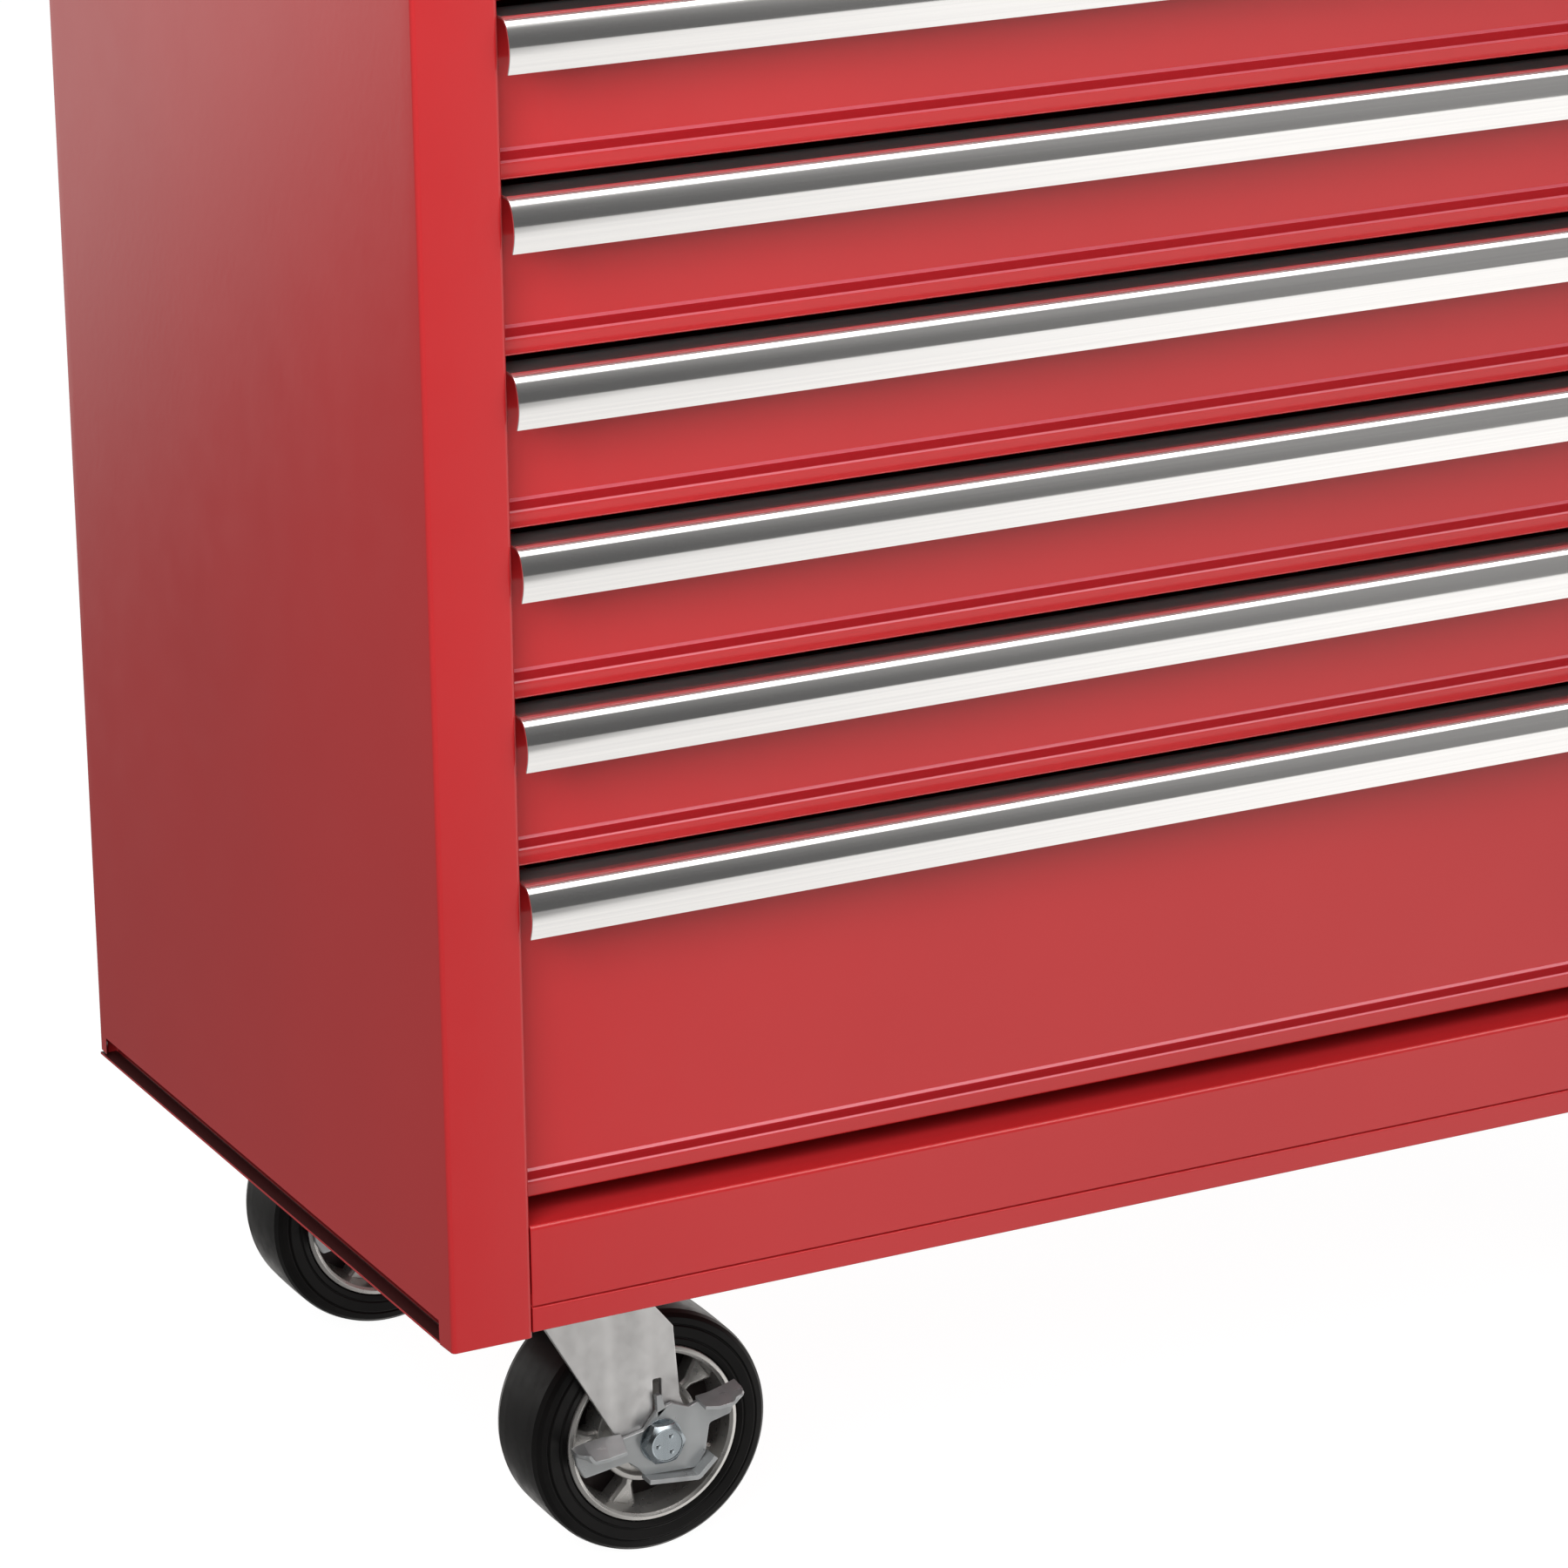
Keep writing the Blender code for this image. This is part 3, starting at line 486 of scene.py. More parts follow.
def cast_silver(name, tint, roughness):
    """The silver wheel centre, lightly grained."""
    finish = Finish(name, tint, roughness, 0.85)
    shade = tuple(0.9 * channel for channel in tint)
    finish.set("Base Color", finish.between(finish.noise(70.0, 3.0), shade, tint))
    grain = finish.noise(300.0, 2.0)
    finish.set("Roughness", finish.spread(grain, roughness - 0.05, roughness + 0.08))
    finish.bump([(finish.noise(400.0, 1.0), 0.02, 0.0001)])
    return finish.material


def black_rubber(name):
    """Moulded rubber: nearly black, with scuffing and a fine matt grain."""
    finish = Finish(name, (0.010, 0.010, 0.010), 0.40)
    scuffs = finish.noise(40.0, 5.0)
    worn = finish.spread(scuffs, 0.0, 1.0)
    finish.set("Base Color", finish.between(worn, (0.004, 0.004, 0.004), (0.007, 0.0065, 0.0065)))
    finish.set("Roughness", finish.spread(finish.noise(120.0, 3.0), 0.28, 0.42))
    finish.set("Specular IOR Level", 0.17)
    finish.bump([(finish.noise(900.0, 2.0), 0.06, 0.0001), (scuffs, 0.08, 0.0004)])
    return finish.material


RED = powder_coat("red_powder_coat", (0.58, 0.026, 0.030))
# Lighter pink for the upward faces of the drawer-front bead crests: a painted highlight.
BEAD_PAINTED_HIGHLIGHT = powder_coat("red_bead_painted_highlight", (0.66, 0.11, 0.14))
# Darker red with almost no gloss for the hollow between the drawer-front beads: painted shade.
BEAD_PAINTED_SHADE = powder_coat("red_bead_painted_shade", (0.40, 0.010, 0.015), 0.40, 0.1)
# Darker red for the set-back wall above each sill: painted shade in the recess under the side
# panel.
SILL_PAINTED_SHADE = powder_coat("red_sill_wall_painted_shade", (0.28, 0.015, 0.018), 0.40, 0.1)
# Near black for the top of each sill's ledge: painted shadow in the recess.
SILL_PAINTED_SHADOW = powder_coat("sill_ledge_painted_shadow", (0.045, 0.012, 0.012), 0.50, 0.1)
# Darker, duller red for the inside of the drawer trays: painted shade, a shaded copy of the cabinet
# red.
RED_INNER_SHADED = powder_coat("red_inner_painted_shade", (0.40, 0.022, 0.024), 0.40)
POLISHED = polished_sheet("polished_pull_sheet")
CHROME = chrome_plate("chrome_plate")
ZINC = zinc_plate("bright_zinc")
BOLT_ZINC = zinc_plate("bolt_zinc", (0.46, 0.52, 0.56), 0.24)
LEVER_ZINC = zinc_plate("lever_zinc", (0.46, 0.48, 0.49), 0.32, 0.65)
SLIDE_ZINC = zinc_plate("slide_zinc", (0.62, 0.64, 0.66))
SILVER = cast_silver("wheel_silver", (0.66, 0.65, 0.63), 0.30)
# Near black for the wheel web and the key slot: painted shade where the real parts are open.
PAINTED_SHADE_DARK = cast_silver("wheel_web_painted_shade", (0.05, 0.04, 0.04), 0.55)
RUBBER = black_rubber("black_rubber")


# ---------------------------------------------------------------- cabinet


def side_panel(side):
    """A wall with its front post and back hem folded on, and a lower edge raised over the sill."""
    line = [(POST_WIDTH, POST_RETURN), (POST_WIDTH, 0.0), (0.0, 0.0)]
    line = rounded(line + [(0.0, DEPTH), (BACK_HEM, DEPTH)], BEND)
    sill_end = DEPTH - SILL_STOP
    step = next(index for index, point in enumerate(line) if point[1] > DEPTH / 2)
    steps = (SILL_START - GAP, SILL_START, sill_end, sill_end + GAP)
    line[step:step] = [(0.0, y) for y in steps]
    outline = mirrored(side, folded(line, SHEET))
    lifts = []
    for x, y in outline:
        if y < SILL_START - GAP / 2 or abs(across(side, x)) > BACK_HEM + SHEET:
            lifts.append(-PANEL_DROP)
        else:
            lifts.append(SILL_HEIGHT if y < sill_end + GAP / 2 else GAP)
    shape = bmesh.new()
    extrude(shape, outline, "XY", -PANEL_DROP, HEIGHT - CAP_SKIRT - GAP)
    shape.verts.ensure_lookup_table()
    for vert, lift in zip(list(shape.verts)[: len(outline)], lifts):
        vert.co.z = at(0.0, 0.0, lift).z
    nodes = [side + "_side_panel"]
    piece(side + "_side_panel_sheet", shape, RED, "cabinet", nodes)


def back_panel():
    """A flat sheet with two pressed stiffening beads."""
    shape = bmesh.new()
    inset = SHEET + GAP
    back = DEPTH - inset
    sheet = rectangle((inset, GAP - PANEL_DROP), (WIDTH - inset, HEIGHT - inset))
    extrude(shape, sheet, "XZ", back - SHEET, back)
    root, crest = back - SHEET / 2, back + 0.0008
    for height in BACK_BEAD_HEIGHTS:
        bead = [(root, height - 0.010), (crest, height - 0.004)]
        bead += [(crest, height + 0.004), (root, height + 0.010)]
        extrude(shape, rounded(bead, 0.003), "YZ", BACK_BEAD_MARGIN, WIDTH - BACK_BEAD_MARGIN)
    piece("back_panel_sheet", shape, RED, "cabinet", ["back_panel"])


def top_panel():
    """A cap with a skirt turned down all round and softly rounded edges."""
    shape = bmesh.new()
    skirt = HEIGHT - CAP_SKIRT
    section = [(BEND, HEIGHT - SHEET), (SHEET, HEIGHT - BEND), (SHEET, skirt), (0.0, skirt)]
    section += arc((BEND, HEIGHT - BEND), BEND, 180, 90, 6)
    rings = []
    for inset, level in section:
        corners = rectangle((inset, inset), (WIDTH - inset, DEPTH - inset))
        outline = rounded(corners, CAP_CORNER - inset, 5, True)
        rings.append([at(x, y, level) for x, y in outline])
    loft(shape, rings)
    piece("top_panel_sheet", shape, RED, "cabinet", ["top_panel"])


def base_pan():
    """The floor with its front lip, and along each side a set-back wall with a sill below it."""
    shape = bmesh.new()
    lip_end = POST_WIDTH + SEAM
    floor_start = POST_RETURN + GAP
    floor_end = DEPTH - BASE_STOP
    lip = [(floor_start + SHEET, 0.0), (0.0, 0.0), (0.0, 0.0122), (0.0016, 0.0128), (0.0016, 0.019)]
    lip = rounded(lip, 0.0006)
    extrude(shape, folded(lip, SHEET), "YZ", lip_end, WIDTH - lip_end)
    edge = SILL_INSET + SHEET / 2
    block(shape, (edge, floor_start, GAP), (WIDTH - edge, floor_end, GAP + SHEET))
    sill_top = SHEET - PANEL_DROP
    for side in ("left", "right"):
        line = rounded([(0.0, sill_top), (SILL_INSET, sill_top), (SILL_INSET, 0.025)], BEND / 2)
        wall = mirrored(side, folded(line, SHEET))
        extrude(shape, wall, "XZ", SILL_START + 2 * GAP, floor_end - SHEET)
        tail = mirrored(side, rectangle((0.0, -PANEL_DROP), (SILL_INSET, sill_top)))
        extrude(shape, tail, "XZ", floor_end - SHEET, DEPTH)
        foot, brow = SHEET / 2 - PANEL_DROP, SILL_HEIGHT + SHEET
        closure = [(GAP, foot), (SILL_INSET, foot), (SILL_INSET, brow), (SHEET + GAP, brow)]
        closure += [(SHEET + GAP, SILL_HEIGHT - GAP), (GAP, SILL_HEIGHT - GAP)]
        start = SILL_START + GAP / 2
        extrude(shape, mirrored(side, closure), "XZ", start, start + SHEET)
    made = piece("base_pan_sheet", shape, RED, "cabinet", ["base_pan"])
    reach = SILL_INSET + 0.0005
    above = sill_top - 0.1 * SHEET

    def on_shaded_sill(centre):
        return min(centre.x, WIDTH - centre.x) < reach and centre.z > above

    # The set-back wall is coated darker red as painted shade, and the sill's ledge near black as
    # painted shadow.
    recoat(made, SILL_PAINTED_SHADE, lambda centre, normal: on_shaded_sill(centre) and abs(normal.x) > 0.6)
    recoat(made, SILL_PAINTED_SHADOW, lambda centre, normal: on_shaded_sill(centre) and normal.z > 0.6)


def rail(name, ledge):
    """A rail between the posts: a face with a hem below and a ledge above."""
    low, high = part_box(name)
    bottom, top = low.z - CORNER.z, high.z - CORNER.z
    line = [(0.0, bottom), (0.0, top), (ledge, top)]
    if name == "bottom_rail":
        line[0] = (0.0, bottom - RAIL_OVERHANG)
    else:
        line.insert(0, (RAIL_HEM, bottom))
    line = rounded(line, BEND)
    shape = bmesh.new()
    inset = POST_WIDTH + SEAM
    extrude(shape, folded(line, SHEET), "YZ", inset, WIDTH - inset)
    piece(name + "_sheet", shape, RED, "cabinet", [name])


def lock():
    """A key lock: a stepped round escutcheon, a plug with its key slot shown as a near-black block
    of painted shade, and the cam behind.
    """
    low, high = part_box("lock_cylinder")
    x = (low.x + high.x) / 2 - CORNER.x
    z = high.z - CORNER.z - LOCK_RADIUS
    centre = (x, 0.0, z)
    tail = -0.026
    face = [(0.0075, 0.0018), (0.0095, 0.0018), (0.0118, 0.0026), (LOCK_RADIUS, 0.0003)]
    escutcheon = rounded(face + [(0.0094, 0.0003)], 0.0006) + [(0.0094, tail), (0.0075, tail)]
    plug = [(0.0, 0.0012), (0.0066, 0.0014), (0.0072, 0.0008), (0.0072, tail), (0.0, tail)]
    shape = bmesh.new()
    for profile in (escutcheon, plug):
        turn(shape, profile, centre, (0, -1, 0), 48)
    block(shape, (x - 0.005, 0.0235, z - 0.0135), (x + 0.005, 0.0255, z))
    nodes = ["lock_cylinder"]
    piece("lock_cylinder_metal", shape, CHROME, "lock", nodes, edge=0.0002)
    # The key slot is a near-black block on the plug's face: painted shade for the keyway.
    key = bmesh.new()
    block(key, (x - 0.0006, -0.0017, z - 0.004), (x + 0.0006, -0.0010, z + 0.004))
    block(key, (x - 0.0011, -0.0017, z - 0.0012), (x + 0.0011, -0.0010, z + 0.0012))
    piece("lock_key_slot_painted_shade", key, PAINTED_SHADE_DARK, "lock", (), edge=0)


def push_handle():
    """A chromed tube bent in to two round feet, each held by two screws."""
    low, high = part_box("push_handle")
    middle_y = (low.y + high.y) / 2 - CORNER.y
    middle_z = (low.z + high.z) / 2 - CORNER.z
    half = (high.y - low.y) / 2 - (high.z - low.z) / 2
    reach = high.x - CORNER.x - HANDLE_RADIUS
    foot = WIDTH + GAP
    line = [(foot, -half), (reach, -half), (reach, half), (foot, half)]
    path = [(x, middle_y + y, middle_z) for x, y in rounded(line, HANDLE_BEND, 14)]
    shape = bmesh.new()
    tube(shape, path, HANDLE_RADIUS, 32)
    dome = [(0.0, 0.0), (0.021, 0.0), (0.021, 0.0035), (0.0145, 0.0055), (0.0, 0.0055)]
    dome = rounded(dome, 0.0012)
    screw = [(0.0, 0.0025), (0.0032, 0.0025), (0.0032, 0.0046), (0.0018, 0.0056), (0.0, 0.0058)]
    for y in (middle_y - half, middle_y + half):
        turn(shape, dome, (foot, y, middle_z), (1, 0, 0), 48)
        for offset in (-0.0168, 0.0168):
            turn(shape, screw, (foot, y, middle_z + offset), (1, 0, 0), 20)
    nodes = ["push_handle"]
    piece("push_handle_tube", shape, CHROME, "cabinet", nodes, edge=0)


# ---------------------------------------------------------------- drawers


def front_line(lip, flange):
    """The outer line of a drawer front: hem, lip with two pressed beads, flat face, top flange."""
    face = FRONT_RECESS
    line = [
        (face + LIP_HEM, lip),
        (face - 0.0004, lip),
        (face - 0.0006, lip + 0.0020),
        (face - 0.0012, lip + 0.0068),
        (face - 0.0012, lip + 0.0079),
        (face - 0.00036, lip + 0.0088),
        (face - 0.0012, lip + 0.0122),
        (face - 0.0012, lip + 0.0133),
        (face, lip + 0.0146),
        (face, flange),
        (face + FRONT_HEM, flange),
    ]
    bends = {1: 0.0016, 9: 0.0015}
    smooth = [line[0]]
    for index in range(1, len(line) - 1):
        corner = rounded(line[index - 1 : index + 2], bends.get(index, 0.0006), 4)
        smooth += corner[1:-1]
    return smooth + [line[-1]]


def drawer_front(number):
    """The pressed front of a drawer."""
    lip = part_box(f"drawer_{number}_tray")[0].z - CORNER.z
    pull_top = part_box(f"drawer_{number}_pull")[1].z - CORNER.z
    shape = bmesh.new()
    line = front_line(lip, pull_top - PULL_SHEET - GAP)
    inset = POST_WIDTH + FRONT_CLEARANCE
    extrude(shape, folded(line, FRONT_SHEET), "YZ", inset, WIDTH - inset)
    made = piece(f"drawer_{number}_front", shape, RED, f"drawer_{number}", ())
    outside = FRONT_RECESS + 0.0002

    # Faces that get the painted highlight: the upward-facing sides of the two bead crests.
    def crest(centre, normal):
        return centre.y < outside and normal.z > 0.3 and lip + 0.0076 < centre.z < lip + 0.0150

    # Faces that get the painted shade: the hollow between the two beads and the flat top of the
    # ridge.
    def painted_shade_hollow(centre, normal):
        return centre.y < outside and normal.z < 0.3 and lip + 0.0088 < centre.z < lip + 0.0135

    recoat(made, BEAD_PAINTED_HIGHLIGHT, crest)
    recoat(made, BEAD_PAINTED_SHADE, painted_shade_hollow)


def drawer_tray(number):
    """The open tray behind a drawer front, with rolled rims, and the slide member on each side."""
    low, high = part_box(f"drawer_{number}_tray")
    pull_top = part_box(f"drawer_{number}_pull")[1].z - CORNER.z
    body = f"drawer_{number}"
    floor = low.z - CORNER.z + TRAY_RISE
    rim = pull_top - RIM_DROP
    left, right = TRAY_INSET, WIDTH - TRAY_INSET
    front = FRONT_RECESS + FRONT_SHEET
    back = high.y - CORNER.y
    shape = bmesh.new()
    block(shape, (left, front, floor), (right, back, floor + TRAY_SHEET))
    for x in (left, right - TRAY_SHEET):
        block(shape, (x, front, floor), (x + TRAY_SHEET, back, rim - TRAY_SHEET))
    for y in (front, back - TRAY_SHEET):
        block(shape, (left, y, floor), (right, y + TRAY_SHEET, rim - TRAY_SHEET))
    level, rear = rim - RIM_RADIUS, back - RIM_RADIUS
    for x in (left + RIM_RADIUS, right - RIM_RADIUS):
        tube(shape, [(x, front + FRONT_HEM, level), (x, rear, level)], RIM_RADIUS, 12)
    rear_rim = [(left + RIM_RADIUS, rear, level), (right - RIM_RADIUS, rear, level)]
    tube(shape, rear_rim, RIM_RADIUS, 12)
    nodes = [f"drawer_{number}_tray"]
    # The tray takes the darker inner red: painted shade inside the drawer.
    piece(body + "_tray_sheet", shape, RED_INNER_SHADED, body, nodes, weighted=False)
    members = bmesh.new()
    middle = low.z - CORNER.z + SLIDE_RISE
    line = [(0.0551, middle - 0.011), (0.0522, middle - 0.008)]
    line += [(0.0522, middle + 0.008), (0.0551, middle + 0.011)]
    for side in ("left", "right"):
        outline = mirrored(side, folded(rounded(line, 0.002), MEMBER_SHEET))
        extrude(members, outline, "XZ", MEMBER_START, back - TRAY_SHEET)
    piece(body + "_inner_members", members, SLIDE_ZINC, body, ())


def pull_line(top):
    """A flat top, then two arcs that turn it down and back under, and a short straight tail."""
    place = Vector((PULL_ARC_START, top))
    line = [(FRONT_RECESS + FRONT_HEM - SHEET, top), tuple(place)]
    for radius, start, end in PULL_ARCS:
        steps = round((end - start) / PULL_STEP)
        for step in range(steps):
            before = math.radians(start + (end - start) * step / steps)
            after = math.radians(start + (end - start) * (step + 1) / steps)
            drop = math.cos(before) - math.cos(after)
            place = place - radius * Vector((math.sin(after) - math.sin(before), drop))
            line.append(tuple(place))
    tail = math.radians(PULL_ARCS[-1][2])
    line.append(tuple(place - PULL_TAIL * Vector((math.cos(tail), math.sin(tail)))))
    return line[::-1]


def drawer_pull(number):
    """The full-width polished pull."""
    low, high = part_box(f"drawer_{number}_pull")
    shape = bmesh.new()
    outline = folded(pull_line(high.z - CORNER.z), PULL_SHEET)
    left, right = low.x - CORNER.x - PULL_STRETCH, high.x - CORNER.x + PULL_STRETCH
    extrude(shape, outline, "YZ", left, right)
    body = f"drawer_{number}"
    piece(body + "_pull_sheet", shape, POLISHED, body, [body + "_pull"])


def middle_slides(number):
    """The two middle members of a drawer's slides."""
    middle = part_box(f"drawer_{number}_tray")[0].z - CORNER.z + SLIDE_RISE
    low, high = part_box(f"drawer_{number}_left_slide")
    bottom, top = middle - 0.0146, middle + 0.0146
    line = [(0.0446, top), (0.0510, top), (0.0510, bottom), (0.0446, bottom)]
    for side in ("left", "right"):
        shape = bmesh.new()
        outline = mirrored(side, folded(rounded(line, BEND), SHEET))
        extrude(shape, outline, "XZ", low.y - CORNER.y, high.y - CORNER.y)
        name = f"drawer_{number}_{side}_slide"
        piece(name + "_channel", shape, SLIDE_ZINC, f"drawer_{number}_slides", [name])


def slide_rack(side):
    """Two folded uprights, and the fixed channel of every slide."""
    low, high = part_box(side + "_slide_rack")
    bottom, top = low.z - CORNER.z, high.z - CORNER.z
    shape = bmesh.new()
    wall, reach = SHEET + GAP, POST_WIDTH
    for front in UPRIGHT_STARTS:
        back = front + UPRIGHT_DEPTH
        line = [(wall, back), (reach, back), (reach, front), (wall, front)]
        outline = mirrored(side, folded(rounded(line, BEND), SHEET))
        extrude(shape, outline, "XY", bottom, top)
    for number in range(1, DRAWER_COUNT + 1):
        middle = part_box(f"drawer_{number}_tray")[0].z - CORNER.z + SLIDE_RISE
        foot, brow = middle - 0.0175, middle + 0.0175
        line = [(0.052, foot), (0.0416, foot), (0.0416, brow), (0.052, brow)]
        outline = mirrored(side, folded(rounded(line, BEND), TRAY_SHEET))
        extrude(shape, outline, "XZ", low.y - CORNER.y, high.y - CORNER.y)
    nodes = [side + "_slide_rack"]
    piece(side + "_slide_rack_metal", shape, SLIDE_ZINC, "cabinet", nodes)


# ---------------------------------------------------------------- casters


def hexagon(shape, centre, across_flats, inner, outer):
    """A hexagon head or nut on a bolt along Y, its outer corners turned down to a cone."""
    flat = across_flats / 2
    way = 1 if outer > inner else -1
    rings = [[], [], [], []]
    for step in range(48):
        angle = math.tau * step / 48
        from_flat = math.degrees(angle) % 60 - 30
        reach = flat / math.cos(math.radians(from_flat))
        spots = (
            (reach, inner),
            (reach, outer - way * (0.0014 + 0.75 * (reach - flat))),
            (0.84 * flat, outer),
            (0.78 * flat, outer - way * 0.0003),
        )
        for ring, (radius, level) in zip(rings, spots):
            x = centre[0] + radius * math.cos(angle)
            z = centre[2] + radius * math.sin(angle)
            ring.append(at(x, level, z))
    loft(shape, rings)


def tyre(corner, centre):
    """A rubber tyre with a stepped, grooved sidewall and a rounded tread."""
    half = [
        (0.0464, 0.0236),
        (0.0470, 0.0246),
        (0.0498, 0.0250),
        (0.0504, 0.0241),
        (0.0511, 0.0248),
        (0.0562, 0.0250),
        (0.0568, 0.0238),
        (0.0575, 0.0246),
        (0.0606, 0.0242),
        (0.0624, 0.0224),
        (0.0634, 0.0190),
        (0.0636, 0.0120),
        (0.0637, 0.0050),
    ]
    shape = bmesh.new()
    turn(shape, both_ways(rounded(half, 0.0006, 3)), centre, (0, -1, 0), 128)
    nodes = [corner + "_tyre"]
    piece(corner + "_rubber_tyre", shape, RUBBER, corner + "_wheel", nodes, edge=0)


def wedge_spoke(shape, centre, angle):
    """A spoke that flares towards the rim, on both sides of the web, with wide bevels."""
    half = [(0.0262, 0.0032), (0.0310, 0.0030), (0.0410, 0.0080)]
    sides = [(radius, -width) for radius, width in half] + half[::-1]
    along, aside = math.cos(angle), math.sin(angle)
    for facing in (-1, 1):
        rings = []
        for shrink, level in ((0.0, WEB_HALF), (0.0, 0.0135), (0.0017, 0.0150)):
            ring = []
            for radius, width in sides:
                width = width - math.copysign(shrink, width)
                x = centre[0] + radius * along - width * aside
                z = centre[2] + radius * aside + width * along
                ring.append(at(x, centre[1] + facing * level, z))
            rings.append(ring)
        loft(shape, rings)


def hub(corner, centre):
    """A polished rim ring, five wedge spokes over a near-black web that is painted shade for the
    open windows of the real wheel centre, and a round boss.
    """
    rim = [
        (0.0462, 0.0238),
        (0.0462, 0.0250),
        (0.0440, 0.0256),
        (0.0424, 0.0246),
        (0.0412, 0.0180),
        (0.0405, 0.0090),
    ]
    boss = [(0.0055, 0.0272), (0.0125, 0.0272), (0.0150, 0.0200), (0.0150, 0.0)]
    collar = [(0.0150, 0.0150), (0.0238, 0.0150), (0.0242, 0.0192), (0.0272, 0.0192)]
    collar.append((0.0280, 0.0))
    shape = bmesh.new()
    turn(shape, both_ways(rounded(rim, 0.0008, 3)), centre, (0, -1, 0), 96)
    turn(shape, both_ways(rounded(boss, 0.001)), centre, (0, -1, 0), 48)
    turn(shape, both_ways(rounded(collar, 0.0008)), centre, (0, -1, 0), 64)
    for spoke in range(SPOKE_COUNT):
        wedge_spoke(shape, centre, math.radians(SPOKE_START + 360 / SPOKE_COUNT * spoke))
    body = corner + "_wheel"
    nodes = [corner + "_hub"]
    piece(corner + "_wheel_centre", shape, SILVER, body, nodes, edge=0.0004)
    # A near-black web closes the windows between the spokes: painted shade for the open windows of
    # the real wheel centre.
    web = bmesh.new()
    turn(web, both_ways([(0.0140, WEB_HALF), (0.0410, WEB_HALF)]), centre, (0, -1, 0), 64)
    piece(corner + "_wheel_web_painted_shade", web, PAINTED_SHADE_DARK, body, (), edge=0)


def fork_legs(shape, wheel, outline, front_slots=()):
    """A fork's two legs, each with its axle hole, and any slots in the front one."""
    x, y, z = wheel
    inner, outer = LEG_FACES
    hole = arc((x, z), AXLE_HOLE, 0, 345, 23)
    front = [outline, hole, *front_slots]
    plate(shape, front, "XZ", y - outer, y - inner, PRESSED_EDGE)
    plate(shape, [outline, hole], "XZ", y + inner, y + outer, PRESSED_EDGE)


def bolted_plate(shape, x, y):
    """A caster's top plate, with four hexagon heads on washers under it."""
    half_x, half_y = PLATE_HALF
    corners = rectangle((x - half_x, y - half_y), (x + half_x, y + half_y))
    plate(shape, [rounded(corners, PLATE_CORNER, 5, True)], "XY", *PLATE_LEVELS, PRESSED_EDGE)
    top = -0.0042
    washer = [(0.0, top), (0.0088, top), (0.0088, -0.0054), (0.0, -0.0054)]
    offset_x, offset_y = PLATE_BOLTS
    for dx in (-offset_x, offset_x):
        for dy in (-offset_y, offset_y):
            extrude(shape, arc((x + dx, y + dy), 0.0072, 10, 310, 5), "XY", -0.0090, top)
            turn(shape, washer, (x + dx, y + dy, 0.0), (0, 0, 1), 24)


def swivel_fork(corner, axis_x, wheel):
    """Two tapered legs under a flat crown that turns on the kingpin, and the race's cover."""
    x, y, z = wheel
    top = -0.0146
    shoulder = [(x - 0.0225, z + 0.004), (axis_x - 0.029, top), (axis_x + 0.029, top)]
    shoulder.append((x + 0.0095, z + 0.058))
    outline = [(x + 0.0125, z + 0.0202)] + arc((x, z), LEG_END, 10, -190, 12) + shoulder
    slot = rectangle((x - 0.0022, z + 0.010), (x + 0.0022, z + 0.0315))
    shape = bmesh.new()
    fork_legs(shape, wheel, rounded(outline, 0.0015, 3, True), [rounded(slot, 0.0008, 2, True)])
    half_x, half_y = CROWN_HALF
    crown = rectangle((axis_x - half_x, y - half_y), (axis_x + half_x, y + half_y))
    hole = arc((axis_x, y), 0.0075, 0, 345, 23)
    plate(shape, [rounded(crown, 0.003, 4, True), hole], "XY", *CROWN_LEVELS, 0.0008)
    body = corner + "_swivel"
    nodes = [corner + "_caster_fork"]
    piece(corner + "_fork_pressing", shape, ZINC, body, nodes, edge=0)
    cover = [(0.0235, -0.0125), (0.0295, -0.0121), (0.032, -0.0112)]
    cover += [(0.032, -0.0104), (0.0275, -0.0103), (0.0235, -0.0107)]
    race = bmesh.new()
    turn(race, cover, (axis_x, y, 0.0), (0, 0, 1), 64)
    piece(corner + "_race_cover", race, ZINC, body, (), edge=0)


def swivel_plate(corner, axis_x, y):
    """The bolted plate of a swivel caster, with its ball race and the kingpin's head."""
    shape = bmesh.new()
    bolted_plate(shape, axis_x, y)
    race = [(0.0, -0.0035), (0.0335, -0.0035), (0.0335, -0.0075), (0.0275, -0.0098)]
    race = rounded(race + [(0.007, -0.0122)], 0.0015)
    pin = [(0.007, -0.0170), (0.0112, -0.0170), (0.0106, -0.0205), (0.0, -0.0219)]
    turn(shape, race + rounded(pin, 0.0010), (axis_x, y, 0.0), (0, 0, 1), 64)
    nodes = [corner + "_caster_plate"]
    piece(corner + "_top_plate", shape, ZINC, "cabinet", nodes, edge=0)


def rigid_fork(corner, wheel):
    """A fork pressed in one with its top plate."""
    x, y, z = wheel
    top = -0.0023
    outline = [(x - 0.031, top), (x + 0.031, top), (x + LEG_END, z + 0.010)]
    outline += arc((x, z), LEG_END, 0, -180, 12) + [(x - LEG_END, z + 0.010)]
    shape = bmesh.new()
    fork_legs(shape, wheel, rounded(outline, 0.002, 3, True))
    bolted_plate(shape, x, y)
    nodes = [corner + "_caster_fork"]
    piece(corner + "_fork_pressing", shape, ZINC, "cabinet", nodes, edge=0)


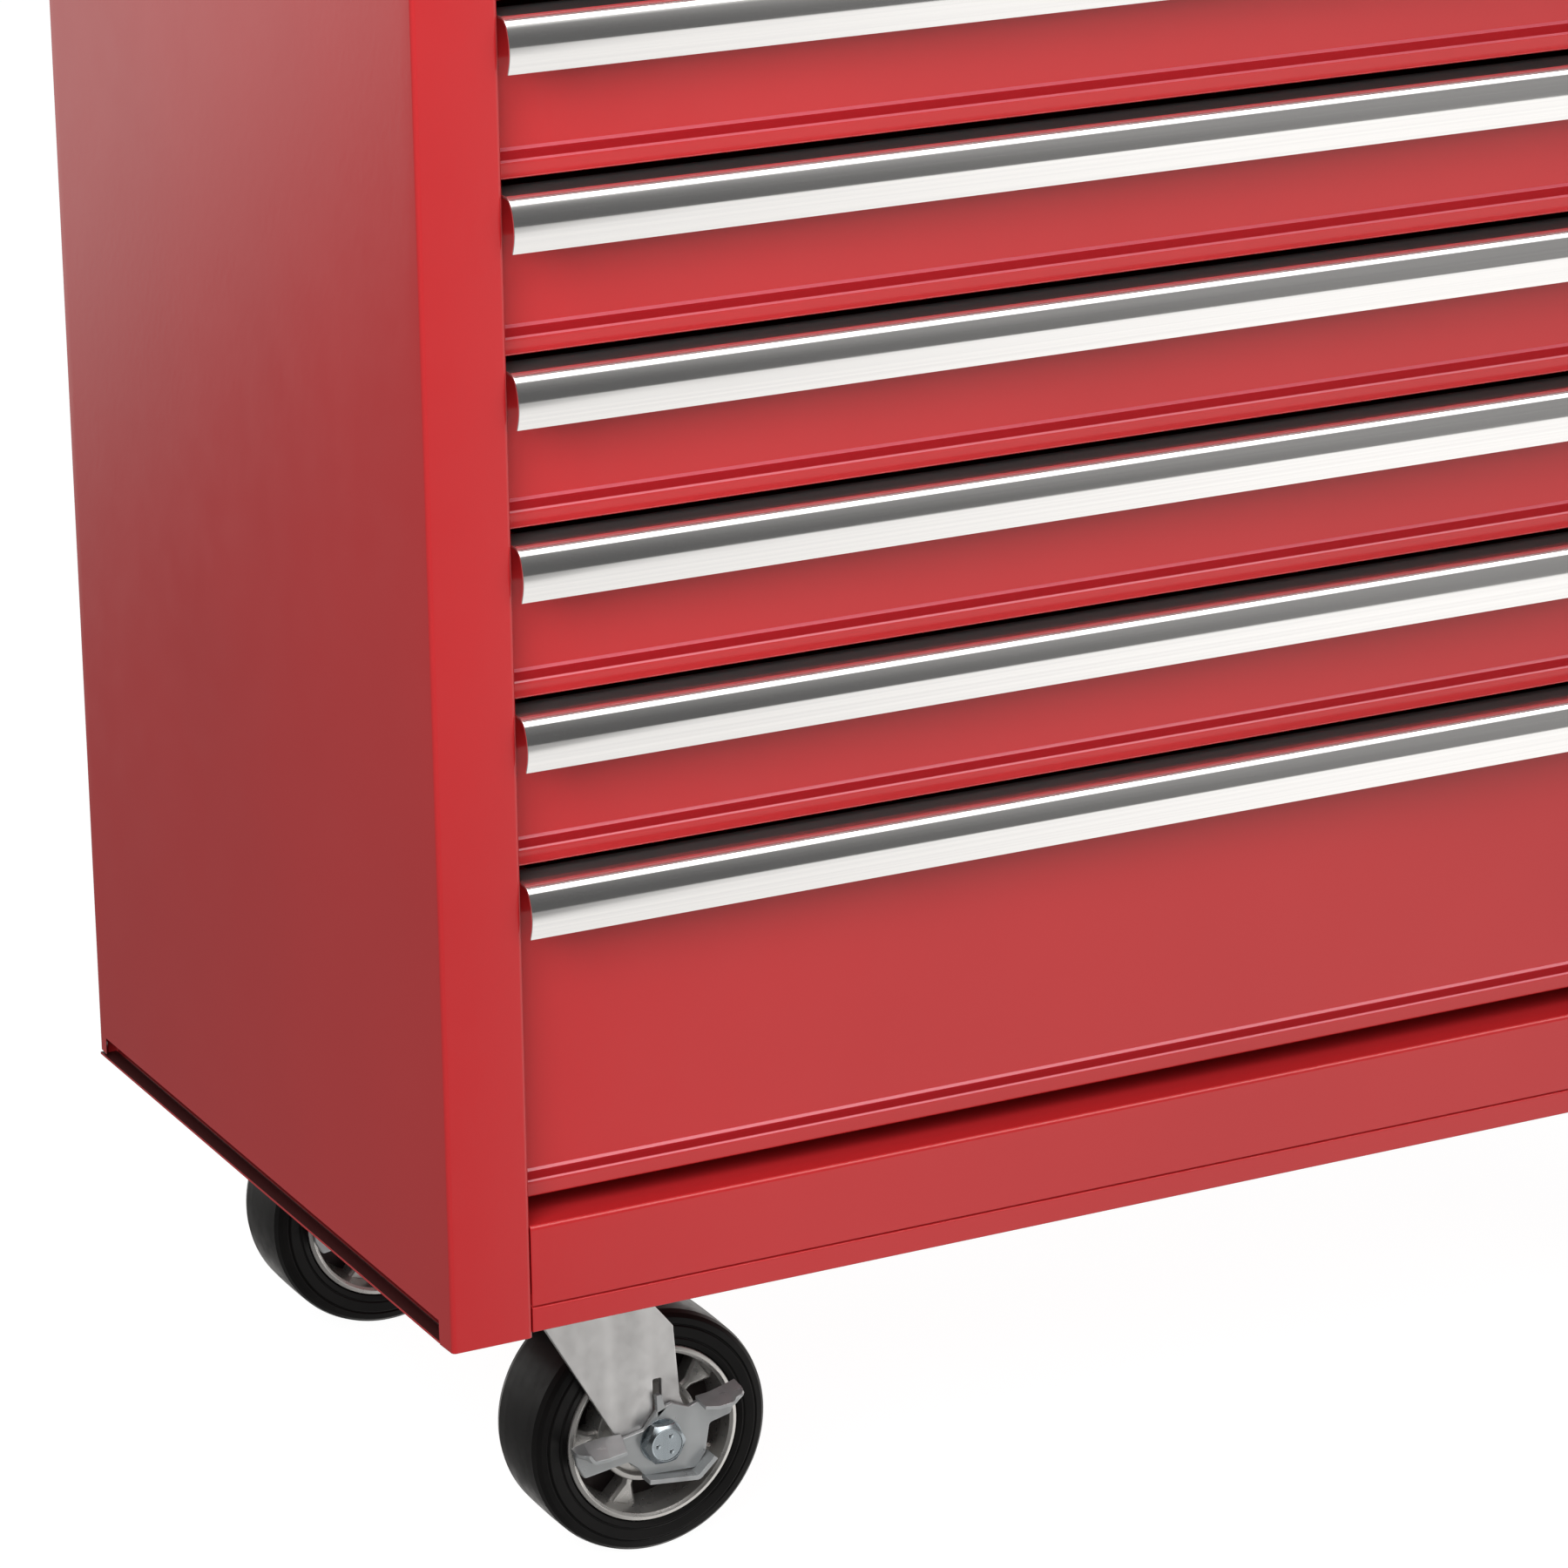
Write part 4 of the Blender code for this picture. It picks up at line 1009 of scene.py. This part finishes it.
def axle_bolt(corner, wheel, body):
    """The axle bolt, with a washer and three raised dots at its head, and the nut at the back."""
    x, y, z = wheel
    low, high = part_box(corner + "_axle_bolt")
    front, back = low.y - CORNER.y, high.y - CORNER.y
    head, tail = front - y, back - y
    shank = [(0.0, head + 0.004), (0.005, head + 0.004), (0.005, tail + 0.002), (0.0, tail + 0.003)]
    shape = bmesh.new()
    turn(shape, shank, wheel, (0, 1, 0), 32)
    hexagon(shape, wheel, BOLT_FLATS, front + BOLT_HEAD, front)
    hexagon(shape, wheel, BOLT_FLATS, back - BOLT_HEAD, back)
    dome = [(0.0, -0.0010), (0.0014, -0.0010), (0.0014, 0.0), (0.0009, 0.0003), (0.0, 0.0004)]
    for angle in (62, 182, 302):
        spot = arc((x, z), 0.0048, angle, angle, 1)[0]
        turn(shape, dome, (spot[0], front + 0.0003, spot[1]), (0, -1, 0), 16)
    washer = rectangle((0.005, head + 0.0066), (0.0115, head + 0.0074))
    turn(shape, washer, wheel, (0, 1, 0), 40)
    nodes = [corner + "_axle_bolt"]
    piece(corner + "_axle_hardware", shape, BOLT_ZINC, body, nodes)


def brake_lever(corner, wheel):
    """A pressed toggle on the axle: a flat body, a pedal at each end, and a tab bent out below."""
    x, _, z = wheel
    low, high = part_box(corner + "_brake_lever")
    back = high.y - CORNER.y
    face = back - LEVER_SHEET
    blank = [
        (-0.0469, 0.0030), (-0.0300, 0.0050), (-0.0205, 0.0050), (-0.0090, 0.0070),
        (-0.0020, 0.0155), (0.0065, 0.0185), (0.0160, 0.0145), (0.0214, 0.0165),
        (0.0416, 0.0205), (0.0440, 0.0180), (0.0385, 0.0060), (0.0270, 0.0033),
        (0.0245, -0.0120), (0.0190, -0.0190), (-0.0090, -0.0175), (-0.0130, -0.0125),
        (-0.0180, -0.0085), (-0.0250, -0.0095), (-0.0419, -0.0120), (-0.0458, -0.0045),
    ]
    shape = bmesh.new()
    outline = rounded([(x + u, z + v) for u, v in blank], 0.002, 3, True)
    hole = arc((x, z), AXLE_HOLE, 0, 345, 23)
    plate(shape, [outline, hole], "XZ", face, back, PRESSED_EDGE)
    front = low.y - CORNER.y
    pedals = (
        (
            [(-0.0205, 0.0048), (-0.0300, 0.0052), (-0.0400, 0.0045), (-0.0475, 0.0030)],
            [(-0.0235, 0.0015), (-0.0330, 0.0000), (-0.0420, -0.0002), (-0.0505, 0.0045)],
        ),
        (
            [(0.0425, 0.0212), (0.0350, 0.0190), (0.0280, 0.0172), (0.0205, 0.0165)],
            [(0.0436, 0.0190), (0.0360, 0.0155), (0.0270, 0.0150), (0.0190, 0.0165)],
        ),
    )
    for tip, (rear_line, fore_line) in zip((-1, 0), pedals):
        rings = []
        for share, clip in ((0.0, 0.0), (0.5, 0.0), (0.75, 0.001), (0.92, 0.003), (1.0, 0.006)):
            line = []
            sag = 0.0012 * share * (1 - share)
            for start, end in zip(rear_line, fore_line):
                u = (1 - share) * start[0] + share * end[0]
                v = (1 - share) * start[1] + share * end[1] - sag
                line.append((x + u, z + v))
            line[tip] = (line[tip][0] - math.copysign(clip, line[tip][0] - x), line[tip][1])
            depth = (1 - share) * (back - 0.0004) + share * (front + 0.0006)
            rings.append([at(u, depth, v) for u, v in folded(rounded(line, 0.010), 0.0018)])
        loft(shape, rings)
    tab = [(x - 0.0095, z - 0.0170), (x + 0.0170, z - 0.0200), (x + 0.0262, z - 0.0115)]
    extrude(shape, folded(rounded(tab, 0.0015), 0.0024), "XZ", front + 0.005, back - 0.0004)
    finger = [(x - 0.0015, z + 0.012), (x - 0.0020, z + 0.024)]
    finger += [(x + 0.0008, z + 0.024), (x + 0.0030, z + 0.016)]
    extrude(shape, finger, "XZ", face, back + 0.0002)
    body = corner + "_brake"
    nodes = [body + "_lever"]
    piece(body + "_pressing", shape, LEVER_ZINC, body, nodes, edge=0.0004)


def caster(corner):
    """One caster: swivelling with a brake on the left, rigid on the right."""
    low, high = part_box(corner + "_tyre")
    wheel = tuple((low + high) / 2 - CORNER)
    tyre(corner, wheel)
    hub(corner, wheel)
    if "left" in corner:
        plate_low, plate_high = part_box(corner + "_caster_plate")
        axis_x = (plate_low.x + plate_high.x) / 2 - CORNER.x
        swivel_plate(corner, axis_x, wheel[1])
        swivel_fork(corner, axis_x, wheel)
        axle_bolt(corner, wheel, corner + "_swivel")
        brake_lever(corner, wheel)
    else:
        rigid_fork(corner, wheel)
        axle_bolt(corner, wheel, "cabinet")


# ---------------------------------------------------------------- stage, light and camera


def ramp_node(tree, value, low, high, at_low, at_high):
    """A smooth step from one brightness to another as the value goes from low to high."""
    node = tree.nodes.new("ShaderNodeMapRange")
    node.interpolation_type = "SMOOTHSTEP"
    node.inputs["From Min"].default_value = low
    node.inputs["From Max"].default_value = high
    node.inputs["To Min"].default_value = at_low
    node.inputs["To Max"].default_value = at_high
    tree.links.new(value, node.inputs["Value"])
    return node.outputs["Result"]


def mix_node(tree, factor, first, second):
    """The first value where the factor is 0 and the second where it is 1."""
    node = tree.nodes.new("ShaderNodeMix")
    tree.links.new(factor, node.inputs["Factor"])
    for socket, value in ((node.inputs[2], first), (node.inputs[3], second)):
        if isinstance(value, float):
            socket.default_value = value
        else:
            tree.links.new(value, socket)
    return node.outputs[0]


def studio():
    """A soft studio: bright overhead, dim ahead at eye level, pale ahead below and behind.

    The gloss paint and the pulls reflect it in full. Matt surfaces get a softer, evener version.
    """
    world = bpy.data.worlds.new("studio")
    bpy.context.scene.world = world
    world.use_nodes = True
    tree = world.node_tree
    background = tree.nodes["Background"]
    way = tree.nodes.new("ShaderNodeTexCoord").outputs["Generated"]
    split = tree.nodes.new("ShaderNodeSeparateXYZ")
    tree.links.new(way, split.inputs[0])
    x, y, z = split.outputs
    slant = tree.nodes.new("ShaderNodeMath")
    slant.operation = "DIVIDE"
    tree.links.new(x, slant.inputs[0])
    tree.links.new(y, slant.inputs[1])
    aside = slant.outputs[0]
    dim = ramp_node(tree, aside, -0.70, -0.42, 0.25, 0.035)
    pale = ramp_node(tree, x, 0.40, 0.53, 0.92, 1.12)
    pale = mix_node(tree, ramp_node(tree, aside, -0.464, -0.450, 0.0, 1.0), pale, 0.22)
    front = mix_node(tree, ramp_node(tree, z, -0.09, -0.06, 0.0, 1.0), pale, dim)
    tilted = tree.nodes.new("ShaderNodeMath")
    tilted.operation = "MULTIPLY_ADD"
    tree.links.new(aside, tilted.inputs[0])
    tilted.inputs[1].default_value = REAR_SLANT
    tree.links.new(z, tilted.inputs[2])
    rear = ramp_node(tree, tilted.outputs[0], -0.565, -0.465, 0.20, 1.0)
    around = mix_node(tree, ramp_node(tree, y, -0.05, 0.05, 0.0, 1.0), front, rear)
    sky = mix_node(tree, ramp_node(tree, z, 0.58, 0.80, 0.0, 1.0), around, SKY_GLOW)
    path = tree.nodes.new("ShaderNodeLightPath")
    soft = ramp_node(tree, z, -0.3, 0.3, 0.15, 0.36)
    ahead = ramp_node(tree, z, -0.3, 0.3, 0.50, 0.42)
    soft = mix_node(tree, ramp_node(tree, y, -0.40, -0.05, 1.0, 0.0), soft, ahead)
    seen = mix_node(tree, path.outputs["Is Glossy Ray"], soft, sky)
    shown = mix_node(tree, path.outputs["Is Camera Ray"], seen, BACKDROP_GLOW)
    tree.links.new(shown, background.inputs["Strength"])
    background.inputs["Color"].default_value = AIR_TINT


def floor():
    """A pale sweep that glows softly, so that only faint shadows lie on it."""
    shape = bmesh.new()
    bmesh.ops.create_grid(shape, x_segments=1, y_segments=1, size=FLOOR_HALF)
    mesh = bpy.data.meshes.new("floor")
    shape.to_mesh(mesh)
    shape.free()
    material = bpy.data.materials.new("pale_floor")
    material.use_nodes = True
    shader = material.node_tree.nodes["Principled BSDF"]
    shader.inputs["Base Color"].default_value = (FLOOR_GREY, FLOOR_GREY, FLOOR_GREY, 1.0)
    shader.inputs["Roughness"].default_value = 0.9
    shader.inputs["Specular IOR Level"].default_value = 0.0
    shader.inputs["Emission Color"].default_value = (1.0, 1.0, 1.0, 1.0)
    shader.inputs["Emission Strength"].default_value = FLOOR_GLOW
    mesh.materials.append(material)
    ground = bpy.data.objects.new("floor", mesh)
    bpy.context.scene.collection.objects.link(ground)
    ground.visible_glossy = False
    ground.visible_diffuse = False


def area_light(name, place, aim, size, power):
    """A rectangular light that is left out of reflections."""
    light = bpy.data.lights.new(name, "AREA")
    light.shape = "RECTANGLE"
    light.size, light.size_y = size
    light.energy = power
    lamp = bpy.data.objects.new(name, light)
    lamp.location = place
    lamp.rotation_euler = (Vector(aim) - Vector(place)).to_track_quat("-Z", "Y").to_euler()
    lamp.visible_glossy = False
    bpy.context.scene.collection.objects.link(lamp)


def camera():
    """The camera, set by its angles and its distance from a point on the plane of the posts."""
    azimuth, elevation = math.radians(CAMERA_AZIMUTH), math.radians(CAMERA_ELEVATION)
    roll = math.radians(CAMERA_ROLL)
    ahead = Vector((-math.sin(azimuth), math.cos(azimuth), 0.0))
    forward = math.cos(elevation) * ahead - Vector((0.0, 0.0, math.sin(elevation)))
    level = Vector((math.cos(azimuth), math.sin(azimuth), 0.0))
    up = level.cross(forward)
    right = math.cos(roll) * level + math.sin(roll) * up
    above = math.cos(roll) * up - math.sin(roll) * level
    lens = bpy.data.cameras.new("camera")
    lens.lens = CAMERA_LENS
    lens.sensor_width = CAMERA_SENSOR
    viewer = bpy.data.objects.new("camera", lens)
    turned = Matrix((right, above, -forward)).transposed().to_4x4()
    viewer.matrix_world = Matrix.Translation(at(*CAMERA_AIM) - CAMERA_DISTANCE * forward) @ turned
    bpy.context.scene.collection.objects.link(viewer)
    bpy.context.scene.camera = viewer


for hand in ("left", "right"):
    side_panel(hand)
    slide_rack(hand)
    caster("front_" + hand)
    caster("rear_" + hand)
back_panel()
top_panel()
base_pan()
rail("bottom_rail", RAIL_LEDGE)
rail("top_rail", POST_RETURN)
lock()
push_handle()
for drawer in range(1, DRAWER_COUNT + 1):
    drawer_front(drawer)
    drawer_tray(drawer)
    drawer_pull(drawer)
    middle_slides(drawer)

studio()
floor()
area_light("overhead", (0.5, -0.8, 3.0), (0.0, 0.0, 0.4), (3.0, 3.0), 12.5)
area_light("front_key", (1.3, -3.2, 1.4), (0.0, 0.0, 0.4), (2.4, 1.8), 22.0)
area_light("left_fill", (-1.45, -1.3, 1.6), (-0.4, 0.0, 0.4), (1.2, 1.2), 28.0)
camera()
bpy.context.scene.view_settings.view_transform = "Standard"
